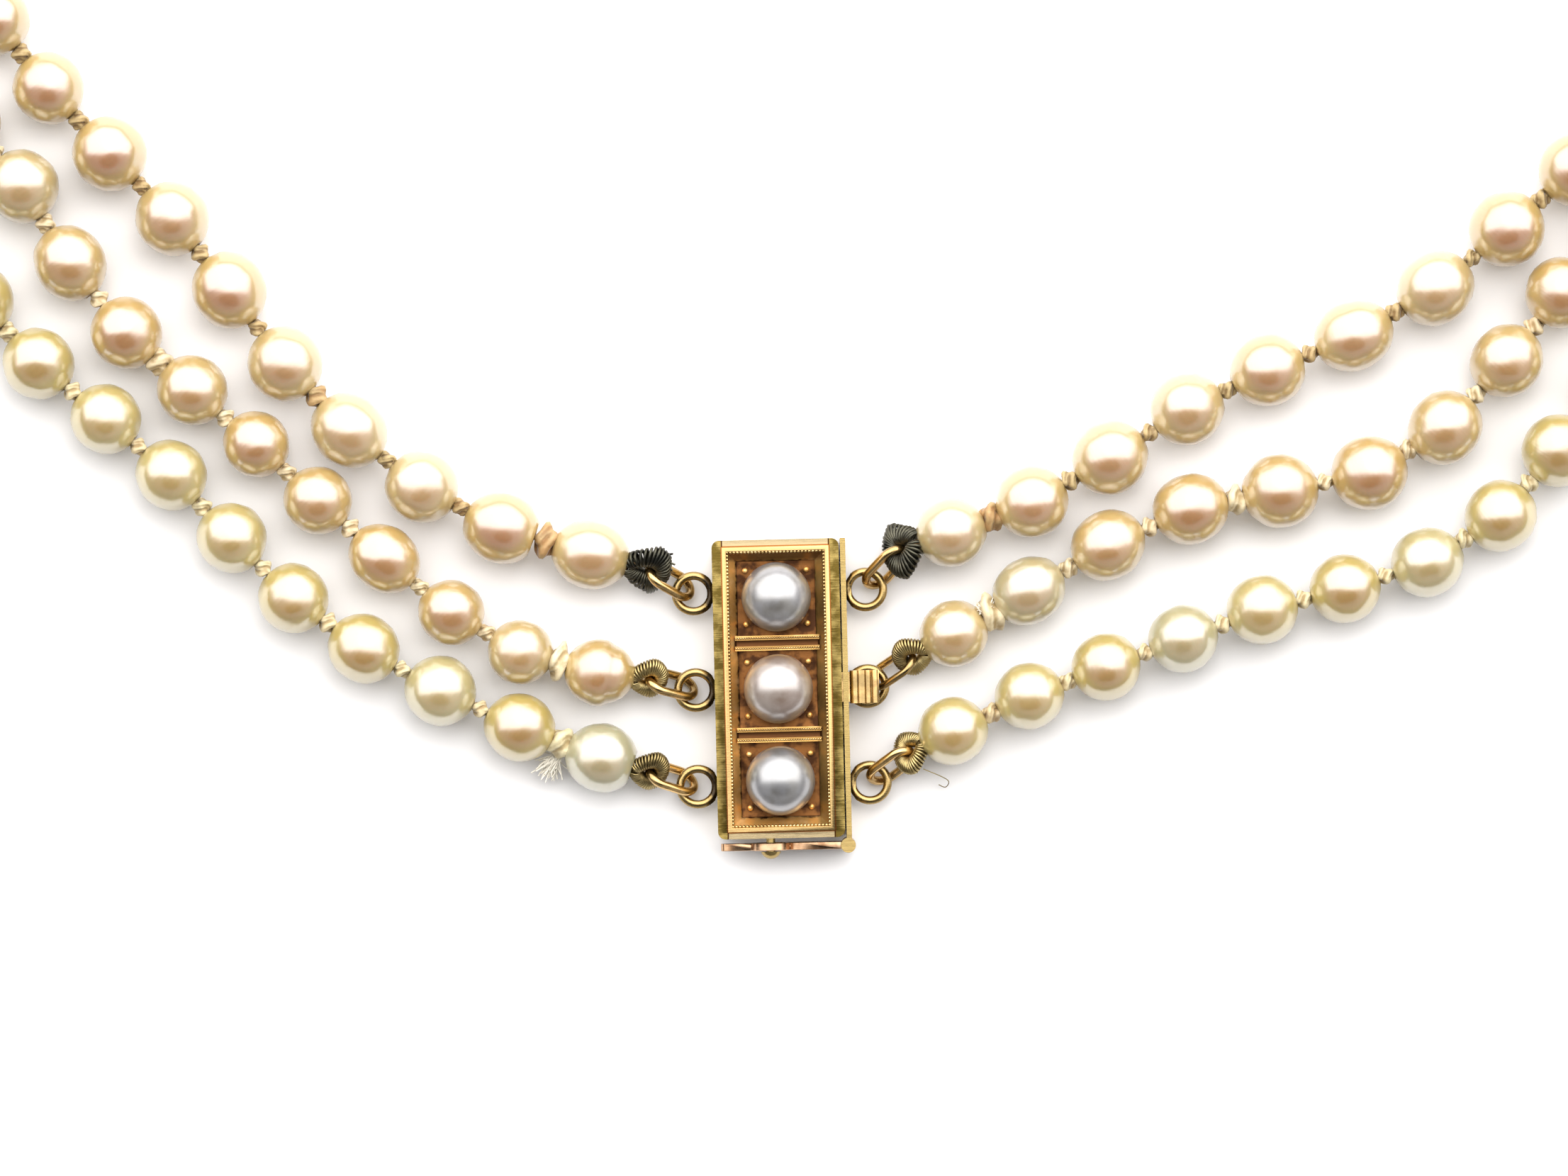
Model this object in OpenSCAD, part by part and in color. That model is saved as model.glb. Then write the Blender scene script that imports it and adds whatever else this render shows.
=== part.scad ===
// Three strand pearl necklace on a gold box clasp, lying flat.
// Millimetres. The clasp is at the near side, its back on z = 0.
// The origin is the middle of the footprint.

/* [Pearls] */
// Diameter of a typical pearl
pearl_d = 4.7; // [4.5:0.1:4.8]
// Diameter of the hole drilled through a pearl
bore_d = 0.7; // [0.6:0.05:0.9]
// Diameter of the silk thread
thread_d = 0.4; // [0.3:0.05:0.4]
// Diameter of a silk knot
knot_d = 1.1; // [0.9:0.05:1.2]
// Clear space between a knot and each pearl beside it
knot_gap = 0.1; // [0.1:0.05:0.3]

/* [Lying loop] */
// Half width of the inner strand's loop behind the clasp
loop_half_w = 69; // [66:1:76]
// Half depth of the inner strand's loop behind the clasp
loop_half_d = 61; // [58:1:66]
// Distance between neighbouring strands
strand_pitch = 6.2; // [5.8:0.1:7]
// Distance from the clasp's middle to the loop's middle, towards the back
loop_far = 78; // [76:1:82]
// Distance from the clasp's middle to the loop's middle, to the right
loop_right = 7; // [5:1:9]

/* [Clasp box] */
// Length of the box along its row of pearls
box_l = 20; // [19.6:0.2:23]
// Width of the box without the tongue's end plate
box_w = 8.5; // [8.4:0.1:9.5]
// Height of the box to its side rails
box_h = 4.3; // [4.2:0.1:5]
// Radius of the box's upright corners
corner_r = 0.5; // [0.3:0.1:0.8]
// Thickness of the sheet gold
sheet = 0.4; // [0.3:0.05:0.45]
// Width of the flat rails along both long sides
rail_w = 0.65; // [0.5:0.05:0.8]
// Width of the flat rails at both short sides
end_rail_w = 0.45; // [0.3:0.05:0.6]
// Width of the raised thread ridge inside the rails
ridge_w = 0.3; // [0.2:0.05:0.35]
// Height of the raised thread ridge over the rails
ridge_h = 0.15; // [0.1:0.05:0.25]
// Depth of the tray below the rails
tray_depth = 0.9; // [0.8:0.05:1]
// Width of the sloping wall around the tray
slope_w = 0.7; // [0.5:0.05:0.8]
// Running clearance between metal pieces
fit = 0.1; // [0.1:0.01:0.14]

/* [Clasp pearls] */
// Diameter of the three grey pearls
grey_d = 4.66; // [4.2:0.02:4.7]
// Distance between the grey pearls' middles
grey_pitch = 6.15; // [6.1:0.05:6.6]
// Height of a grey pearl's middle over its flat base
grey_rise = 0.7; // [0.5:0.05:1]
// Distance from a grey pearl's middle to a grain, across the clasp
grain_x = 2.05; // [2:0.05:2.2]
// Distance from a grey pearl's middle to a grain, along the clasp
grain_y = 1.8; // [1.7:0.05:1.9]
// Diameter of a grain
grain_d = 0.4; // [0.3:0.02:0.44]
// Width of a ridge of a cross bar
bar_w = 0.3; // [0.2:0.05:0.35]
// Distance between the two ridges of a cross bar
bar_pitch = 0.7; // [0.6:0.05:0.8]
// Height of a cross bar's ridges over the tray
bar_h = 0.45; // [0.3:0.05:0.6]

/* [Loops and rings] */
// Distance between the loops for neighbouring strands
row_pitch = 6.5; // [6:0.1:6.8]
// Diameter of a loop, middle of its wire
loop_d = 2.4; // [2.3:0.05:2.6]
// Thickness of a loop's wire
loop_wire = 0.46; // [0.36:0.02:0.5]
// Height of the loops over the surface
loop_z = 1.15; // [1.05:0.05:1.3]
// Width of an oval jump ring, middle of its wire
ring_w = 1.9; // [1.8:0.05:2.1]
// Length of an oval jump ring, middle of its wire
ring_l = 3.4; // [3.2:0.05:3.6]
// Thickness of a jump ring's wire
ring_wire = 0.5; // [0.4:0.02:0.52]
// Diameter of the ring that the coiled gimp wire makes
gimp_ring_d = 1.6; // [1.5:0.05:1.8]
// Thickness of the coiled gimp wire
gimp_d = 0.76; // [0.6:0.02:0.8]
// Diameter of the passage through the coiled gimp wire
gimp_bore_d = 0.44; // [0.4:0.02:0.5]
// Height of the gimps' middle over the surface
gimp_z = 2.1; // [2:0.05:2.2]

/* [Tongue] */
// Thickness of the tongue's spring sheet
leaf_t = 0.3; // [0.2:0.02:0.32]
// Width of the tongue
tongue_w = 6.4; // [5:0.1:7]
// Thickness of the end plate that carries the right loops
plate_t = 0.35; // [0.3:0.05:0.5]
// Width of the press piece
press_w = 2.2; // [1.8:0.1:2.4]
// Length of the press piece
press_l = 1.95; // [1.7:0.05:2]
// Height of the press piece
press_h = 0.8; // [0.6:0.05:1]

/* [Safety catch] */
// Distance from the catch's hinge pin to its stud
catch_reach = 5.2; // [4.6:0.1:5.6]
// Thickness of the catch
catch_t = 0.5; // [0.4:0.05:0.5]
// Outer diameter of the catch's round eye
eye_d = 2.8; // [2.7:0.05:3]
// Width of the metal around the eyes
eye_band = 0.45; // [0.35:0.05:0.5]
// Length of the catch's finger tab past its eye
tab_l = 1.5; // [1:0.1:2]
// Diameter of the stud's head
stud_d = 1.4; // [1.2:0.05:1.4]
// Diameter of the hinge pin
pin_d = 0.4; // [0.3:0.05:0.5]
// Diameter of the hinge knuckle
knuckle_d = 1; // [0.9:0.05:1.1]

/* [Hidden] */
$fn = 72;
eps = 0.02;

// Strand numbers, counted outwards.
INNER = 0;
MIDDLE = 1;
OUTER = 2;

// Chosen points of the strands near the clasp, from the clasp outwards,
// measured from the clasp's middle. [left side, right side] for each strand.
ROUTE = [
    [[[-12.6, 9.5], [-18, 10.8], [-23, 13.5], [-28, 17.5], [-32.5, 22.2],
      [-36.5, 28], [-40, 33], [-44.5, 37.2], [-48.5, 42]],
     [[12, 10.2], [17.3, 11.8], [22, 14.6], [27.3, 17.8], [32.5, 20.5],
      [38.2, 22.2], [44, 25], [49.2, 29.4], [54.2, 33.5]]],
    [[[-12, 1.2], [-16.7, 2.4], [-21.5, 5.1], [-25.5, 8.8], [-30, 12.7],
      [-33.6, 16.2], [-37.6, 20], [-41.8, 23.4], [-45.8, 27.6], [-48.6, 32.7], [-51.6, 37.6]],
     [[11.8, 3.1], [16, 5.8], [20.5, 8], [25.5, 10.8], [31, 12.2],
      [37, 12.7], [42.8, 14.2], [46.9, 18.2], [51, 22.2], [53.6, 26.8]]],
    [[[-12, -4.2], [-17.4, -2.5], [-22.4, 0.4], [-27.7, 3], [-32.2, 6.6],
      [-36.3, 10.5], [-39.6, 14.8], [-43.6, 18.3], [-48, 21.8], [-52.2, 26]],
     [[11.8, -3.4], [16, -1.1], [20.7, 0.6], [25.4, 1.9], [30, 3.8],
      [35, 5.2], [40.3, 6.1], [46, 8.3], [50.6, 11.8], [53.6, 16.4]]]
];

// Pearls beside the clasp, from the clasp outwards, [left side, right side]
// for each strand. Columns: length and girth as shares of pearl_d, form.
ROUND = 0;
OVAL = 1;
RINGED = 2;
CUT = 3;
PEARLS = [
    [[[1.06, 0.95, OVAL], [1.05, 0.98, CUT], [0.99, 0.99, ROUND], [1.08, 0.99, OVAL],
      [1.03, 1.01, OVAL], [1.06, 1.02, OVAL], [1.01, 1.01, ROUND], [1.03, 1.02, ROUND]],
     [[0.96, 0.95, ROUND], [0.98, 0.98, ROUND], [1.05, 1.01, OVAL], [1.0, 1.0, ROUND],
      [1.01, 1.01, ROUND], [1.1, 0.96, OVAL], [1.07, 1.01, OVAL], [1.03, 1.03, ROUND]]],
    [[[0.96, 0.92, RINGED], [0.86, 0.88, ROUND], [0.89, 0.89, ROUND], [1.02, 0.9, OVAL],
      [0.95, 0.93, ROUND], [0.88, 0.9, ROUND], [0.96, 0.96, ROUND], [0.99, 0.98, ROUND],
      [1.05, 0.99, OVAL], [0.99, 1.0, ROUND]],
     [[0.9, 0.92, ROUND], [1.02, 0.92, OVAL], [1.03, 0.96, OVAL], [1.03, 0.98, OVAL],
      [1.03, 1.03, ROUND], [1.04, 1.02, OVAL], [1.03, 1.0, OVAL], [1.02, 0.98, OVAL],
      [0.96, 0.97, ROUND]]],
    [[[0.98, 0.94, CUT], [0.97, 0.93, OVAL], [0.98, 0.97, ROUND], [0.98, 0.95, OVAL],
      [0.95, 0.95, ROUND], [0.97, 0.96, ROUND], [0.97, 0.97, ROUND], [0.96, 0.96, ROUND],
      [0.98, 0.98, ROUND]],
     [[0.95, 0.94, ROUND], [0.9, 0.92, ROUND], [0.9, 0.93, ROUND], [0.9, 0.93, ROUND],
      [0.95, 0.96, ROUND], [0.95, 0.95, ROUND], [0.98, 0.96, OVAL], [0.98, 0.98, ROUND],
      [0.99, 0.99, ROUND]]]
];
// Largest girth in the table, which sets the height of the silk
largest = 1.03;
// Girth of the pearls behind, as a share, and how much it varies
rear_girth = 0.98;
rear_vary = 0.025;

// How each strand end is linked, [left side, right side] for each strand.
// Columns: direction of the jump ring in plan, seat of the ring's end in the
// loop, tilt of the ring, bare silk between the gimp and the first pearl.
LINKS = [
    [[149, 0.25, 52, 0.8], [46, 0.45, 52, 0.55]],
    [[164, 0.15, 52, 0.25], [33, 0.45, -52, 0.3]],
    [[160, 0.3, 52, 0.25], [36, 0.3, 52, 0.25]]
];

// Box of the clasp
knot_l = knot_d + 2 * knot_gap;
plate_x = box_w / 2 + fit;
plate_out = plate_x + plate_t;
tray_z = box_h - tray_depth;
frame_w = box_w / 2 - rail_w;
frame_l = box_l / 2 - end_rail_w;
pocket_w = frame_w - ridge_w;
pocket_l = frame_l - ridge_w;
floor_w = pocket_w - slope_w;
floor_l = pocket_l - slope_w;
ceiling_z = tray_z - sheet;
hollow_l = box_l - 2 * sheet;

// Tongue: the lower leaf, the fold and the upper leaf that is pressed down
leaf_low_z = sheet + fit;
leaf_top_z = ceiling_z - fit;
fold_r = (leaf_top_z - leaf_low_z) / 2;
fold_x = -box_w / 2 + sheet + 2 * fit + fold_r;
pivot_x = fold_x + eps + fit + leaf_t / 2;
pivot_z = leaf_top_z - leaf_t / 2;
lip_z = leaf_top_z - leaf_t - fit;
stem_w = press_w - 2 * fit;
window_z = loop_z + loop_wire / 2 + fit;

// Safety catch
hinge_x = plate_out - knuckle_d / 4;
hinge_y = -box_l / 2 - fit - knuckle_d / 2;
catch_z = box_h / 2;
ear_t = 0.4;
knuckle_h = 1.9;
stud_x = hinge_x - catch_reach;
stud_neck_d = 0.6;
head_y = hinge_y - catch_t / 2 - fit;

// Loops: soldered to the box at the left and to the end plate at the right
solder = 0.12;
loop_r = loop_d / 2;
loop_left_x = -box_w / 2 - loop_r - loop_wire / 2 + solder;
loop_right_x = plate_out + loop_r + loop_wire / 2 - solder;

// Place of the whole: the footprint's middle is the origin
foot_y = head_y - stud_d / 3;
rim = pearl_d * largest / 2 + 2 * strand_pitch;
back_y = loop_far + loop_half_d + rim;
origin_x = -loop_right;
origin_y = -(foot_y + back_y) / 2;

// Height of the silk, so that the largest pearls touch the surface
silk_z = pearl_d * largest / 2;

function unit(v) = v / norm(v);
function total(list, n) = n <= 0 ? 0 : list[n - 1] + total(list, n - 1);

// Links between the clasp and a strand. side is -1 at the left and 1 at the right.
function link(strand, side) = LINKS[strand][side < 0 ? 0 : 1];
function loop_at(strand, side) = [
    side < 0 ? loop_left_x : loop_right_x,
    (MIDDLE - strand) * row_pitch
];
// The ring rises to the gimp and crosses the loop's own level over the loop's wire
function ring_pitch(strand, side) =
    asin((gimp_z - loop_z) / (ring_l - (loop_r - link(strand, side)[1])));
function heading(angle) = [cos(angle), sin(angle)];
function ring_near(strand, side) =
    let (aim = link(strand, side)[0], seat = link(strand, side)[1], rise = ring_pitch(strand, side))
    [each (loop_at(strand, side) + seat * heading(aim)), loop_z - (loop_r - seat) * sin(rise)];
function ring_far(strand, side) =
    let (aim = link(strand, side)[0], rise = ring_pitch(strand, side))
    ring_near(strand, side) + ring_l * [each (cos(rise) * heading(aim)), sin(rise)];
function first_point(strand, side) = ROUTE[strand][side < 0 ? 0 : 1][0];
// The jump ring's own axes: along it, and square to its plane
function ring_axis(strand, side) =
    let (aim = link(strand, side)[0], rise = ring_pitch(strand, side))
    [each (cos(rise) * heading(aim)), sin(rise)];
function ring_normal(strand, side) =
    let (aim = link(strand, side)[0], rise = ring_pitch(strand, side), tilt = link(strand, side)[2])
    [each (sin(tilt) * [sin(aim), -cos(aim)] - cos(tilt) * sin(rise) * heading(aim)),
     cos(tilt) * cos(rise)];
// The gimp stands square to the ring's wire and is pulled towards the first pearl
function gimp_turn(strand, side) =
    let (far = ring_far(strand, side), goal = first_point(strand, side),
         pull = [goal[0] - far[0], goal[1] - far[1], silk_z - far[2]])
    atan2(pull * ring_normal(strand, side), pull * ring_axis(strand, side));
// Where the silk leaves the gimp
function silk_end(strand, side) =
    let (turn = gimp_turn(strand, side))
    ring_far(strand, side) + gimp_ring_d / 2
        * (cos(turn) * ring_axis(strand, side) + sin(turn) * ring_normal(strand, side));

// A strand's route: its chosen points, and behind them an arc of an ellipse
arc_from = [206, 212, 218];
arc_to = [-40, -44, -46];
arc_steps = 24;
function rear(strand) = [
    for (i = [0:arc_steps])
        let (a = arc_from[strand] + (arc_to[strand] - arc_from[strand]) * i / arc_steps)
        [loop_right + (loop_half_w + strand * strand_pitch) * cos(a),
         loop_far + (loop_half_d + strand * strand_pitch) * sin(a)]
];
function flat(p) = [p[0], p[1]];
function route(strand) = [
    flat(silk_end(strand, -1)),
    each ROUTE[strand][0],
    each rear(strand),
    each [for (i = [len(ROUTE[strand][1]) - 1:-1:0]) ROUTE[strand][1][i]],
    flat(silk_end(strand, 1))
];

// A smooth curve through the route's points, eight steps to a span
span_steps = 8;
function bend(a, b, c, d, t) =
    0.5 * (2 * b + (c - a) * t + (2 * a - 5 * b + 4 * c - d) * t * t
           + (3 * b - a - 3 * c + d) * t * t * t);
function curve(points) =
    let (last = len(points) - 1) [
        for (i = [0:last - 1], k = [0:span_steps - 1])
            bend(points[max(i - 1, 0)], points[i], points[i + 1], points[min(i + 2, last)],
                 k / span_steps),
        points[last]
    ];
// Rows of [distance along the curve, x, y]
function measured(points) = [
    for (i = 0, s = 0; i < len(points);
         s = s + (i + 1 < len(points) ? norm(points[i + 1] - points[i]) : 0), i = i + 1)
        [s, points[i][0], points[i][1]]
];

// The row of pearls of a strand as [length, girth, form, side], left to right.
// side is 1 where the clasp lies beyond the pearl's right end.
function side_rows(strand, side) = [
    for (row = PEARLS[strand][side]) [row[0] * pearl_d, row[1] * pearl_d, row[2], side]
];
function lengths(rows) = [for (row = rows) row[0] + knot_l];
function rear_rows(strand, space) =
    let (count = round(space / (pearl_d * rear_girth + knot_l)), step = space / count) [
        for (i = [0:count - 1])
            let (girth = min(step - knot_l, pearl_d * rear_girth) * (1 + rear_vary * sin(137 * i)))
            [step - knot_l, girth, OVAL, 0]
    ];
function strand_rows(strand, total_l) =
    let (
        left = side_rows(strand, 0),
        right = side_rows(strand, 1),
        ends = link(strand, -1)[3] + link(strand, 1)[3] - knot_l,
        space = total_l - ends - total(lengths(left), len(left)) - total(lengths(right), len(right))
    )
    concat(left, rear_rows(strand, space), [for (i = [len(right) - 1:-1:0]) right[i]]);
function rows_of(strand) =
    let (table = measured(curve(route(strand))))
    strand_rows(strand, table[len(table) - 1][0]);
// The knots of a strand, with the two ends where the silk leaves the gimps
function knots_of(strand) =
    let (
        table = measured(curve(route(strand))),
        total_l = table[len(table) - 1][0],
        rows = strand_rows(strand, total_l),
        first = link(strand, -1)[3] - knot_l / 2,
        xs = [for (row = table) [row[0], row[1]]],
        ys = [for (row = table) [row[0], row[2]]]
    ) [
        silk_end(strand, -1),
        for (i = 0, s = first + rows[0][0] + knot_l; i < len(rows) - 1;
             i = i + 1, s = s + rows[min(i, len(rows) - 1)][0] + knot_l)
            [lookup(s, xs), lookup(s, ys), silk_z],
        silk_end(strand, 1)
    ];

// Turns +Z to the direction of v
module along(v) {
    rotate([0, acos(v[2] / norm(v)), atan2(v[1], v[0])]) children();
}

// Wire ring in the XY plane
module wire_ring(d, wire, angle = 360) {
    rotate_extrude(angle = angle) translate([d / 2, 0]) circle(d = wire, $fn = 48);
}

// A pearl's outer form on the Z axis, drilled
module pearl(length, girth, form) {
    difference() {
        if (form == ROUND) sphere(d = girth, $fn = 72);
        else if (form == OVAL) oval(length, girth);
        else if (form == RINGED) ringed(length, girth);
        else cut_pearl(length, girth);
        cylinder(d = bore_d, h = 3 * pearl_d, center = true, $fn = 32);
    }
}

// Two balls of the same girth, grown together a little apart
module oval(length, girth) {
    apart = (length - girth) / 2;
    if (apart > eps) for (end = [-1, 1]) translate([0, 0, end * apart]) sphere(d = girth, $fn = 72);
    else sphere(d = min(length, girth), $fn = 72);
}

// A round pearl with a smaller cap grown on one end
module ringed(length, girth) {
    translate([0, 0, (length - girth) / 2]) sphere(d = girth, $fn = 72);
    translate([0, 0, -(length - 0.8 * girth) / 2]) sphere(d = 0.8 * girth, $fn = 72);
}

// A pearl with one flattened end
module cut_pearl(length, girth) {
    intersection() {
        translate([0, 0, -0.06 * length]) oval(1.12 * length, girth);
        translate([0, 0, length]) cube([2 * length, 2 * length, 3 * length], center = true);
    }
}

module strand_pearls(strand) {
    rows = rows_of(strand);
    knots = knots_of(strand);
    last = len(rows) - 1;
    for (i = [0:last]) {
        from = knots[i];
        to = knots[i + 1];
        way = unit(to - from);
        half = (rows[i][0] + knot_l) / 2;
        centre = i == 0 ? to - half * way : i == last ? from + half * way : (from + to) / 2;
        translate(centre) along(rows[i][3] == 1 ? -way : way)
            pearl(rows[i][0], rows[i][1], rows[i][2]);
    }
}

module strand_silk(strand) {
    knots = knots_of(strand);
    last = len(knots) - 1;
    // Each run of thread ends inside the knots at its two ends
    sunk = knot_d / 4;
    for (i = [0:last - 1]) {
        run = knots[i + 1] - knots[i];
        from = i == 0 ? 0 : sunk;
        to = norm(run) - (i == last - 1 ? 0 : sunk);
        translate(knots[i]) along(run) translate([0, 0, from])
            cylinder(d = thread_d, h = to - from, $fn = 24);
    }
    // A knot's seam faces sideways, clear of the thread
    for (i = [1:last - 1]) {
        run = knots[i + 1] - knots[i - 1];
        translate(knots[i]) rotate([0, 0, atan2(run[1], run[0]) + 90]) sphere(d = knot_d, $fn = 36);
    }
    for (i = [0, last]) translate(knots[i]) sphere(d = thread_d * 1.2, $fn = 24);
    for (side = [-1, 1]) gimp_place(strand, side)
        rotate_extrude($fn = 48) translate([gimp_ring_d / 2, 0])
            circle(d = gimp_bore_d - 2 * fit, $fn = 24);
}

// An oval ring of round wire in the XY plane, from the origin along +X
module oval_ring() {
    straight = ring_l - ring_w;
    for (end = [0, 1]) translate([ring_w / 2 + end * straight, 0, 0])
        rotate([0, 0, end ? -90 : 90]) wire_ring(ring_w, ring_wire, 180);
    for (y = [-1, 1]) translate([ring_w / 2, y * ring_w / 2, 0]) rotate([0, 90, 0])
        cylinder(d = ring_wire, h = straight, $fn = 48);
}

module jump_ring(strand, side) {
    translate(ring_near(strand, side)) rotate([0, 0, link(strand, side)[0]])
        rotate([0, -ring_pitch(strand, side), 0]) rotate([link(strand, side)[2], 0, 0]) oval_ring();
}

// The gimp's ring encloses the jump ring's far end, with +X towards the first pearl
module gimp_place(strand, side) {
    translate(ring_far(strand, side)) rotate([0, 0, link(strand, side)[0]])
        rotate([0, -ring_pitch(strand, side), 0]) rotate([link(strand, side)[2] + 90, 0, 0])
            rotate([0, 0, gimp_turn(strand, side)]) children();
}

gimp_open = 40;
module gimp(strand, side) {
    gimp_place(strand, side) rotate([0, 0, gimp_open])
        rotate_extrude(angle = 360 - 2 * gimp_open) translate([gimp_ring_d / 2, 0]) difference() {
            circle(d = gimp_d, $fn = 48);
            circle(d = gimp_bore_d, $fn = 32);
        }
}

// A block with round upright corners, standing on z = 0
module round_block(w, l, h, r) {
    linear_extrude(h) {
        square([w - 2 * r, l], center = true);
        square([w, l - 2 * r], center = true);
        for (x = [-1, 1], y = [-1, 1]) translate([x * (w / 2 - r), y * (l / 2 - r)])
            circle(r = r, $fn = 48);
    }
}

// The pocket of the tray: upright through the ridge, then sloping to the floor
module tray_pocket() {
    hull() {
        translate([0, 0, box_h]) cube([2 * pocket_w, 2 * pocket_l, eps], center = true);
        translate([0, 0, tray_z + eps / 2]) cube([2 * floor_w, 2 * floor_l, eps], center = true);
    }
    translate([0, 0, box_h + ridge_h]) cube([2 * pocket_w, 2 * pocket_l, 2 * ridge_h], center = true);
}

// Two ridges with a lower web between them, their ends let into the sloping walls
module cross_bar() {
    half_l = floor_w + slope_w / 3;
    web_h = bar_h / 3;
    for (side = [-1, 1])
        translate([-half_l, side * bar_pitch / 2 - bar_w / 2, tray_z - eps])
            cube([2 * half_l, bar_w, bar_h + eps]);
    translate([-half_l, -bar_pitch / 2, tray_z - eps]) cube([2 * half_l, bar_pitch, web_h + eps]);
}

module grains() {
    for (x = [-1, 1], y = [-1, 1]) translate([x * grain_x, y * grain_y, tray_z - eps]) {
        cylinder(d = grain_d, h = grain_d / 2 + eps, $fn = 32);
        translate([0, 0, grain_d / 2 + eps]) sphere(d = grain_d, $fn = 32);
    }
}

module clasp_loops(x) {
    for (strand = [INNER:OUTER])
        translate([x, (MIDDLE - strand) * row_pitch, loop_z]) wire_ring(loop_d, loop_wire);
}

// Slot for the tongue in the right wall: wide below, narrow at the lip for the stem
module tongue_slot() {
    translate([box_w / 2 - 2 * sheet, -tongue_w / 2 - fit, sheet])
        cube([3 * sheet, tongue_w + 2 * fit, lip_z - sheet]);
    translate([box_w / 2 - 2 * sheet, -stem_w / 2 - fit, sheet])
        cube([3 * sheet, stem_w + 2 * fit, ceiling_z - sheet]);
}

module stud() {
    translate([stud_x, -box_l / 2 + sheet / 2, catch_z]) rotate([90, 0, 0])
        cylinder(d = stud_neck_d, h = -box_l / 2 + sheet / 2 - head_y + eps, $fn = 32);
    // The head is a low dome
    translate([stud_x, head_y, catch_z]) intersection() {
        translate([0, stud_d / 6, 0]) sphere(d = 1.05 * stud_d, $fn = 48);
        translate([0, -stud_d / 2, 0]) cube([2 * stud_d, stud_d, 2 * stud_d], center = true);
    }
}

module clasp_case() color("goldenrod") {
    difference() {
        union() {
            round_block(box_w, box_l, box_h, corner_r);
            translate([0, 0, box_h - eps]) linear_extrude(ridge_h + eps)
                square([2 * frame_w, 2 * frame_l], center = true);
        }
        tray_pocket();
        translate([-box_w / 2 + sheet, -hollow_l / 2, sheet])
            cube([box_w - 2 * sheet, hollow_l, ceiling_z - sheet]);
        tongue_slot();
    }
    for (y = [-1, 1]) translate([0, y * grey_pitch / 2, 0]) cross_bar();
    for (i = [-1:1]) translate([0, i * grey_pitch, 0]) grains();
    clasp_loops(loop_left_x);
    stud();
}

module grey_pearl(i) {
    base_z = tray_z + fit;
    translate([0, i * grey_pitch, 0]) intersection() {
        translate([0, 0, base_z + grey_rise]) sphere(d = grey_d, $fn = 72);
        translate([0, 0, base_z + grey_d]) cube(2 * grey_d, center = true);
    }
}

// Ear of the safety catch's hinge, soldered to the end plate
module hinge_ear(z) {
    translate([0, 0, z]) {
        translate([hinge_x, hinge_y, 0]) cylinder(d = knuckle_d, h = ear_t, $fn = 48);
        translate([plate_x, hinge_y, 0]) cube([plate_t, -box_l / 2 - hinge_y + sheet, ear_t]);
    }
}

module clasp_tongue() color("darkgoldenrod") {
    stack = knuckle_h + 2 * fit + 2 * ear_t;
    difference() {
        translate([plate_x, -box_l / 2, 0]) cube([plate_t, box_l, box_h - fit]);
        translate([plate_x - eps, -stem_w / 2 - fit, window_z])
            cube([plate_t + 2 * eps, stem_w + 2 * fit, leaf_top_z + fit - window_z]);
    }
    translate([fold_x, -tongue_w / 2, leaf_low_z]) cube([plate_x - fold_x + eps, tongue_w, leaf_t]);
    translate([fold_x + eps, tongue_w / 2, leaf_low_z + fold_r]) rotate([90, 0, 0])
        linear_extrude(tongue_w) rotate([0, 0, 90]) half_ring(fold_r, leaf_t);
    clasp_loops(loop_right_x);
    for (z = [catch_z - stack / 2, catch_z + stack / 2 - ear_t]) hinge_ear(z);
    translate([hinge_x, hinge_y, catch_z - stack / 2]) cylinder(d = pin_d, h = stack, $fn = 32);
}

// Half a flat ring, on the +Y side
module half_ring(r, t) {
    difference() {
        circle(r = r);
        circle(r = r - t);
        translate([-2 * r, -4 * r]) square([4 * r, 4 * r]);
    }
}

// Ridges across the press piece: place and width as shares of its length
PRESS_RIDGES = [[0.16, 0.31], [0.62, 0.23], [0.86, 0.23]];

module clasp_press() color("gold") {
    shoulder_x = box_w / 2 - sheet - fit;
    press_x = plate_out + fit;
    translate([pivot_x, 0, pivot_z]) {
        rotate([90, 0, 0]) cylinder(d = leaf_t, h = tongue_w, center = true, $fn = 32);
        translate([0, -tongue_w / 2, -leaf_t / 2]) cube([shoulder_x - pivot_x, tongue_w, leaf_t]);
        translate([0, -stem_w / 2, -leaf_t / 2]) cube([press_x - pivot_x + eps, stem_w, leaf_t]);
    }
    press_z = leaf_top_z - leaf_t;
    translate([press_x, -press_w / 2, press_z]) cube([press_l, press_w, press_h]);
    for (ridge = PRESS_RIDGES)
        translate([press_x + ridge[0] * press_l, 0, press_z + press_h]) rotate([90, 0, 0])
            cylinder(d = ridge[1] * press_l, h = press_w, center = true, $fn = 32);
}

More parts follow.
